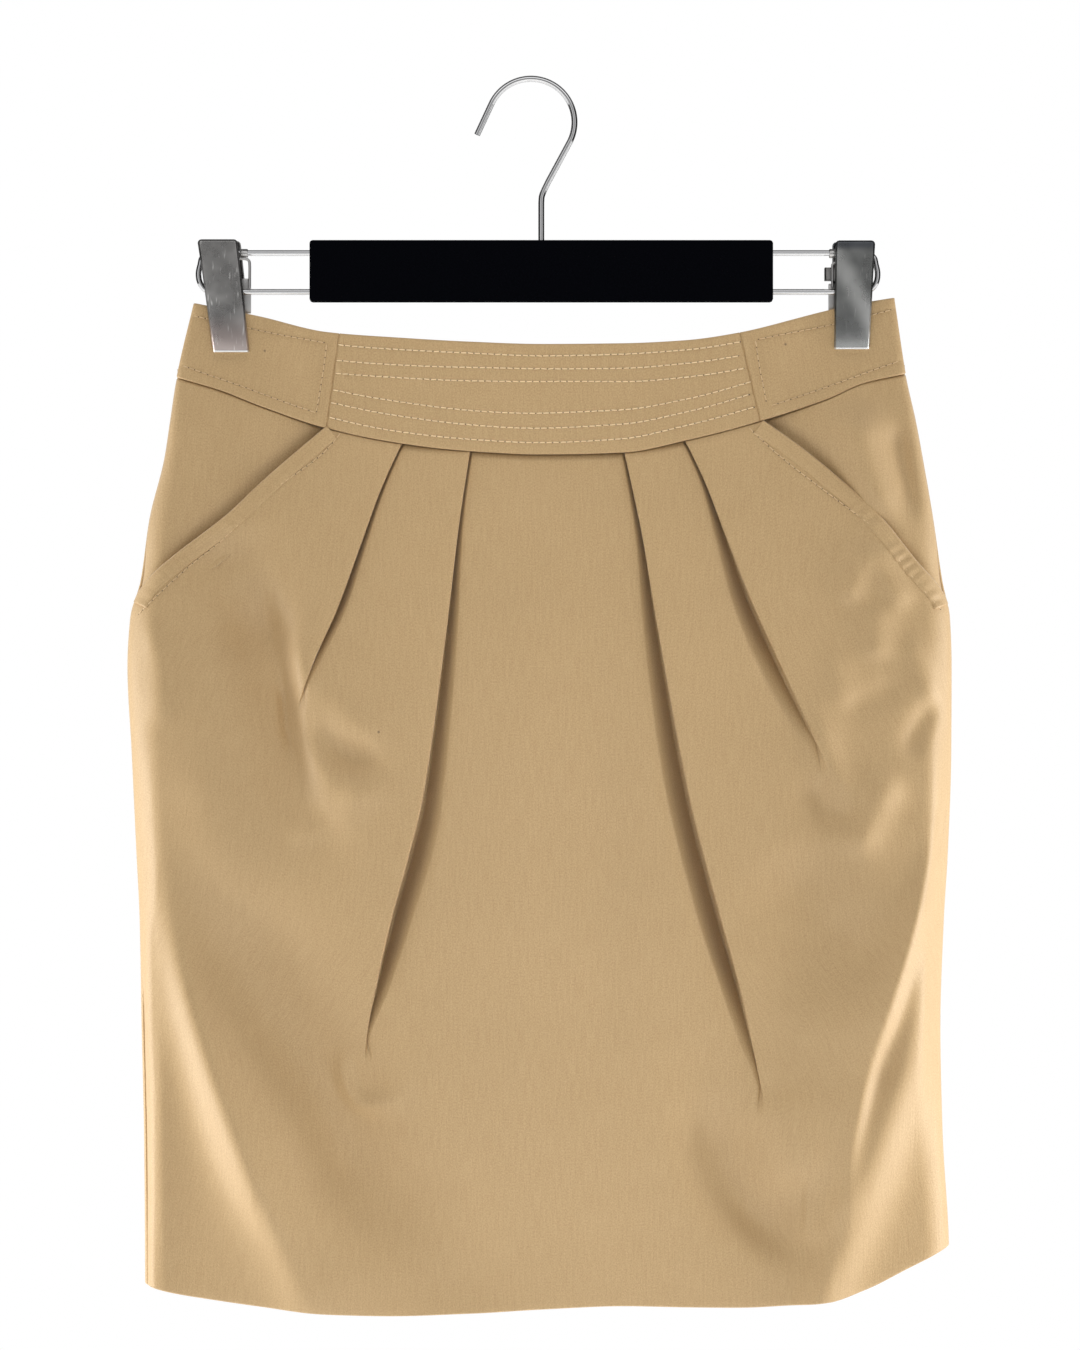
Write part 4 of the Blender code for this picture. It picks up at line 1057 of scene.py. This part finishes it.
# a block with all its edges rounded, and with its faces toward one side sunk in where a pocket is asked for
def addBlock(name, size, place, rounded, segments=2, pocket=0.0):
    piece = addCube(name, size, place)
    if pocket:
        editWhere(piece, "FACE", lambda corners: all(corner.y < place[1] for corner in corners))
        bpy.ops.mesh.inset(thickness=pocket * mm)
        bpy.ops.transform.translate(value=(0, size[1] * 0.8 * mm, 0))
        leaveEdit()
    outer = size[1] / 2 - 0.05
    editWhere(piece, "EDGE", lambda corners: all(abs(corner.y - place[1]) > outer for corner in corners))
    bpy.ops.mesh.bevel(offset=rounded * mm, segments=segments)
    leaveEdit()
    return piece


clips = {
    -1: {"top": (-175.0, -85.4), "tip": (-167.9, -146.2), "widths": (21.6, 19.6), "drift": 1.0},
    1: {"top": (169.8, -86.0), "tip": (168.1, -144.6), "widths": (21.4, 19.2), "drift": -1.0},
}
plate = {"wall": 0.9, "flange": 4.2, "chamfer": 1.1, "corner": 2.0, "topOut": 8.6, "tipOut": 4.0, "lip": 2.1,
         "soft": 0.18}


# a pressed clip plate: a shallow channel with a chamfer round it, leaning in to its tip, with a lip at the bottom
def makeClipPlate(sign, facing, name, node, material):
    clip = clips[sign]
    width, tipWidth = clip["widths"]
    flange = plate["flange"]
    high, low = clip["top"][1], clip["tip"][1]
    tall = high - low
    shares = (0.0, 0.3, 0.55, 0.8, 1.0)
    piece = addCube(name, (width, flange, tall), (0, -flange / 2 * facing, (high + low) / 2))
    for share in shares[1:-1]:
        editWhere(piece, "FACE", lambda corners: True)
        bpy.ops.mesh.bisect(plane_co=(0, 0, (high - tall * share) * mm), plane_no=(0, 0, 1))
        leaveEdit()
    for share, deep in zip(shares[2:], (2.6, 2.0, plate["lip"])):
        level = high - tall * share
        editWhere(piece, "VERT", lambda corners: abs(corners[0].z - level) < 0.5 and abs(corners[0].y) > 0.5)
        bpy.ops.transform.translate(value=(0, (flange - deep) * mm * facing, 0))
        leaveEdit()
    editWhere(piece, "FACE", lambda corners: min(abs(corner.y) for corner in corners) > 0.5)
    bpy.ops.mesh.delete(type="FACE")
    leaveEdit()
    editWhere(piece, "EDGE", lambda corners: all(corner.z > high - 0.1 and abs(corner.x) > width / 2 - 0.1
                                                 for corner in corners) and abs(corners[0].y - corners[1].y) > 1)
    bpy.ops.mesh.bevel(offset=plate["corner"] * mm, segments=3)
    leaveEdit()
    editWhere(piece, "EDGE", lambda corners: all(abs(corner.y) < 0.1 for corner in corners)
              and (all(abs(corner.x) > 5 for corner in corners) and abs(corners[0].x - corners[1].x) < 2
                   or all(corner.z > high - 0.1 for corner in corners)))
    bpy.ops.mesh.bevel(offset=plate["chamfer"] * mm, segments=1)
    leaveEdit()
    for share in shares:
        level = high - tall * share
        near = 3.5 if share == 0 else 0.6
        aside = mix(clip["top"][0], clip["tip"][0], share) + (clip["drift"] if facing > 0 else 0.0)
        out = facing * mix(plate["topOut"], plate["tipOut"], share)
        editWhere(piece, "VERT", lambda corners: abs(corners[0].z - level) < near)
        narrow = mix(width, tipWidth, share) / width
        bpy.ops.transform.resize(value=(narrow, 1, 1), center_override=(0, 0, level * mm))
        bpy.ops.transform.translate(value=(aside * mm, out * mm, 0))
        leaveEdit()
    solid = piece.modifiers.new("wall", "SOLIDIFY")
    solid.thickness = plate["wall"] * mm
    solid.offset = -1
    soft = piece.modifiers.new("soft", "BEVEL")
    soft.width = plate["soft"] * mm
    soft.segments = 2
    applyAll(piece)
    lip = addBlock(name + "Lip", (tipWidth - 1.4, 2.2, 1.0), (aside, out - 0.2 * facing, low + 0.4), 0.45)
    piece = joinPieces(name, [piece, lip])
    bpy.ops.object.shade_smooth_by_angle(angle=math.radians(25))
    dress(piece, material, node)


# a round wire along points (x, y, z)
def makeWire(name, points, across):
    curve = bpy.data.curves.new(name, "CURVE")
    curve.dimensions = "3D"
    curve.bevel_depth = across / 2 * mm
    curve.bevel_resolution = 5
    curve.use_fill_caps = True
    spline = curve.splines.new("POLY")
    spline.points.add(len(points) - 1)
    for point, place in zip(spline.points, points):
        point.co = (*(value * mm for value in place), 1)
    makeOnly(addObject(name, curve))
    bpy.ops.object.convert(target="MESH")
    bpy.ops.object.shade_smooth_by_angle(angle=math.radians(40))
    return bpy.context.object


def flatPath(points, y=0.0, steps=6):
    return [(x, y, z) for x, z in curvedPath(points, steps)]


hook = {"centre": (-5.6, -21.4), "radius": 23.6, "start": 155, "end": -27, "tip": (-34.8, -28.2),
        "bend": [(3.6, -54.0), (1.4, -58.6), (0.3, -61.6), (0, -65.0)], "foot": -94.5, "across": 3.3}
wires = {"high": -92.3, "low": -113.4, "inBar": 117.5, "across": 3.1, -1: -184.9, 1: 181.4}


def makeHook():
    (centreX, centreZ), radius = hook["centre"], hook["radius"]
    angles = np.radians(np.linspace(hook["start"], hook["end"], 60))
    points = [hook["tip"]]
    points += [(centreX + radius * math.cos(angle), centreZ + radius * math.sin(angle)) for angle in angles]
    points += list(curvedPath(hook["bend"], 5)) + [(0, hook["foot"])]
    dress(makeWire("hook", [(x, 0, z) for x, z in points], hook["across"]), steel, "hanger_hook")


# the U-shaped wire that a clip slides on
def makeClipWire(sign, name, node):
    end, high, low = wires[sign], wires["high"], wires["low"]
    turn = [(end - sign * 9, high), (end - sign * 5, high - 0.2), (end - sign * 1.2, high - 2.4), (end, high - 6.5),
            (end + sign * 0.9, high - 11), (end + sign * 0.2, low + 5.4), (end - sign * 2.6, low + 1.4),
            (end - sign * 7, low + 0.1), (end - sign * 12, low)]
    path = [(sign * wires["inBar"], 0, high)] + flatPath(turn) + [(sign * wires["inBar"], 0, low)]
    dress(makeWire(name, path, wires["across"]), steel, node)


# the small parts that show beside the plates: the bush on the upper wire, the spring's loop, the lug and the jaw
fittings = {
    -1: {"bush": (-161.2, -92.6),
         "loop": [(-164, -95.6), (-160.5, -95.6), (-158.4, -96.6), (-157.9, -99), (-157.9, -105), (-157.9, -111.5)],
         "lug": None, "jaw": ((7.4, 1.3, 19), (-161.2, 3.4, -115.4))},
    1: {"bush": (158.2, -92.6),
        "loop": [(161, -97.4), (158.4, -98), (157.6, -100), (157.6, -106), (157.6, -111)],
        "lug": ((6.2, 5, 7.2), (156.6, 0.6, -103.8)), "jaw": ((5.6, 1.3, 15), (158.6, 3.4, -116.2))},
}


def makeFittings(sign, name):
    part = fittings[sign]
    bpy.ops.object.select_all(action="DESELECT")
    bpy.ops.mesh.primitive_cylinder_add(vertices=24, radius=2.5 * mm, depth=4.4 * mm, rotation=(0, math.pi / 2, 0),
                                        location=(part["bush"][0] * mm, 0, part["bush"][1] * mm))
    bush = bpy.context.object
    bpy.ops.object.transform_apply(location=True, rotation=True, scale=True)
    editWhere(bush, "EDGE", lambda corners: abs(corners[0].x - corners[1].x) < 0.1)
    bpy.ops.mesh.bevel(offset=0.5 * mm, segments=2)
    leaveEdit()
    loop = makeWire(name + "Loop", flatPath(part["loop"], -2.6), 1.5)
    pieces = [bush, loop, addBlock(name + "Jaw", *part["jaw"], 0.5)]
    if part["lug"]:
        pieces.append(addBlock(name + "Lug", *part["lug"], 0.35, pocket=1.1))
    piece = joinPieces(name, pieces)
    bpy.ops.object.shade_smooth_by_angle(angle=math.radians(30))
    dress(piece, brushedSteel)


# each plate's steel colour and scratches, and its painted reflections: the warm one of the cloth, the slanting pale one
# and the dark top
plateLooks = {
    -1: {"colour": (0.44, 0.43, 0.42), "clothReflection": (0.50, 0.43, 0.41), "scratched": 0.75, "shift": -9.0, "pale": 0.0,
         "dark": 0.0, "tip": clips[-1]["tip"][1]},
    1: {"colour": (0.30, 0.305, 0.30), "clothReflection": (0.37, 0.375, 0.37), "scratched": 0.25, "shift": 3.62, "pale": 0.5,
        "dark": 0.8, "tip": clips[1]["tip"][1]},
}
plateFinish = {-1: plateMaterial("scratchedSteel", plateLooks[-1]), 1: plateMaterial("smoothSteel", plateLooks[1])}
for sign, side in ((-1, "left"), (1, "right")):
    makeClipPlate(sign, -1, f"clip{side.title()}Front", f"clip_{side}_front", plateFinish[sign])
    makeClipPlate(sign, 1, f"clip{side.title()}Back", f"clip_{side}_back", plateFinish[sign])
    makeClipWire(sign, f"clipWire{side.title()}", f"hanger_wire_{side}")
    makeFittings(sign, f"clipFittings{side.title()}")
    setMaterial(nodes[f"clip_{side}_bracket"], brushedSteel)
makeHook()
setMaterial(nodes["hanger_bar"], flock)
for name in ("zip_slider", "zip_pull"):
    setMaterial(nodes[name], steel)
setMaterial(nodes["zip_tape"], tan)
print("hanger made")


def makeStage():
    bpy.ops.mesh.primitive_plane_add(size=6, location=(0, 0, -1.1))
    floor = bpy.context.object
    floor.name = "floor"
    material, tree, shader = newMaterial("paleFloor")
    setInputs(tree, shader, {"Base Color": (0.9, 0.9, 0.89, 1), "Emission Color": (1, 1, 0.99, 1),
                             "Emission Strength": 0.3, "Roughness": 0.8})
    floor.data.materials.append(material)


def addSoftbox(name, place, size, power, aim, glossy=True, spread=180):
    box = bpy.data.lights.new(name, "AREA")
    box.shape = "RECTANGLE"
    box.size, box.size_y = size
    box.energy = power
    box.spread = math.radians(spread)
    lamp = addObject(name, box)
    lamp.location = place
    lamp.visible_camera = False
    lamp.visible_glossy = glossy
    lamp.rotation_euler = (Vector(aim) - Vector(place)).to_track_quat("-Z", "Y").to_euler()
    return lamp


# white behind the object; the light it gives is weak from the front and from below, and what the metal mirrors
# is a dark room with a pale wall in front, two bright strips and a bright ceiling
light = {"front": 0.22, "side": 1.02, "below": 0.45}
mirror = {"wall": 0.31, "dark": 0.04, "strip": 0.72, "ceiling": 1.1, "ceilingBack": 0.08, "low": 0.12}


def makeWorld():
    world = bpy.data.worlds.new("studio")
    bpy.context.scene.world = world
    world.use_nodes = True
    tree = world.node_tree
    direction = addNode(tree, "ShaderNodeTexCoord").outputs["Generated"]
    x, y, z = addNode(tree, "ShaderNodeSeparateXYZ", {"Vector": direction}).outputs

    def fade(value, *reach):
        return ramp(tree, value, *reach, shape="SMOOTHSTEP")

    def multiply(first, second):
        return combine(tree, "MULTIPLY", first, second)

    room = multiply(fade(y, -0.9, -0.1, light["front"], light["side"]), fade(z, -0.7, 0.1, light["below"], 1.0))
    wall = fade(y, -0.97, -0.9, mirror["wall"], mirror["dark"])
    strips = multiply(fade(combine(tree, "ABSOLUTE", x), 0.26, 0.4, 0.0, mirror["strip"]),
                      fade(y, -0.8, -0.62, 1.0, 0.0))
    ceiling = multiply(fade(z, 0.3, 0.55, 0.0, mirror["ceiling"]), fade(y, -0.66, -0.4, 1.0, mirror["ceilingBack"]))
    mirrored = combine(tree, "ADD", combine(tree, "ADD", wall, strips), ceiling)
    mirrored = multiply(mirrored, fade(z, -0.4, -0.12, mirror["low"], 1.0))
    rays = addNode(tree, "ShaderNodeLightPath").outputs
    seen = addNode(tree, "ShaderNodeMix", {"Factor": rays["Is Glossy Ray"], "A": room, "B": mirrored})
    strength = addNode(tree, "ShaderNodeMix", {"Factor": rays["Is Camera Ray"], "A": seen.outputs["Result"],
                                               "B": 1.0})
    setInputs(tree, tree.nodes["Background"], {"Color": (1, 1, 1, 1), "Strength": strength.outputs["Result"]})


makeStage()
makeWorld()
# the boxes at the sides pass the bright steel by, or its edges would vanish into the white
passedBy = bpy.data.collections.new("passedBy")
for name in ("hook", "clipWireLeft", "clipWireRight"):
    passedBy.objects.link(bpy.data.objects[name])
for entry in passedBy.collection_objects:
    entry.light_linking.link_state = "EXCLUDE"
right = addSoftbox("softboxRight", (0.6, -0.03, -0.52), (0.17, 0.56), 2.4, (0, 0, -0.5))
left = addSoftbox("softboxLeft", (-0.6, 0.0, -0.54), (0.12, 0.56), 2.35, (0, 0, -0.5))
for lamp in (right, left):
    lamp.light_linking.receiver_collection = passedBy
addSoftbox("softboxTop", (-0.1, -0.5, 0.75), (0.9, 0.5), 3.1, (0, 0, -0.4), False)
addSoftbox("softboxFront", (0, -0.9, -0.40), (0.08, 0.6), 0.08, (0, 0, -0.40), False, 34)
addSoftbox("softboxLow", (0, -0.6, -1.0), (0.6, 0.3), 0.66, (0, 0, -0.5), False)

camera = bpy.data.cameras.new("camera")
camera.lens = 147.6
camera.sensor_width = 36
camera.dof.use_dof = False
cameraObject = addObject("camera", camera)
cameraObject.location = (-0.0007, -3.0, -0.321)
cameraObject.rotation_euler = (math.pi / 2, 0, 0)
bpy.context.scene.camera = cameraObject
bpy.context.scene.view_settings.view_transform = "Standard"
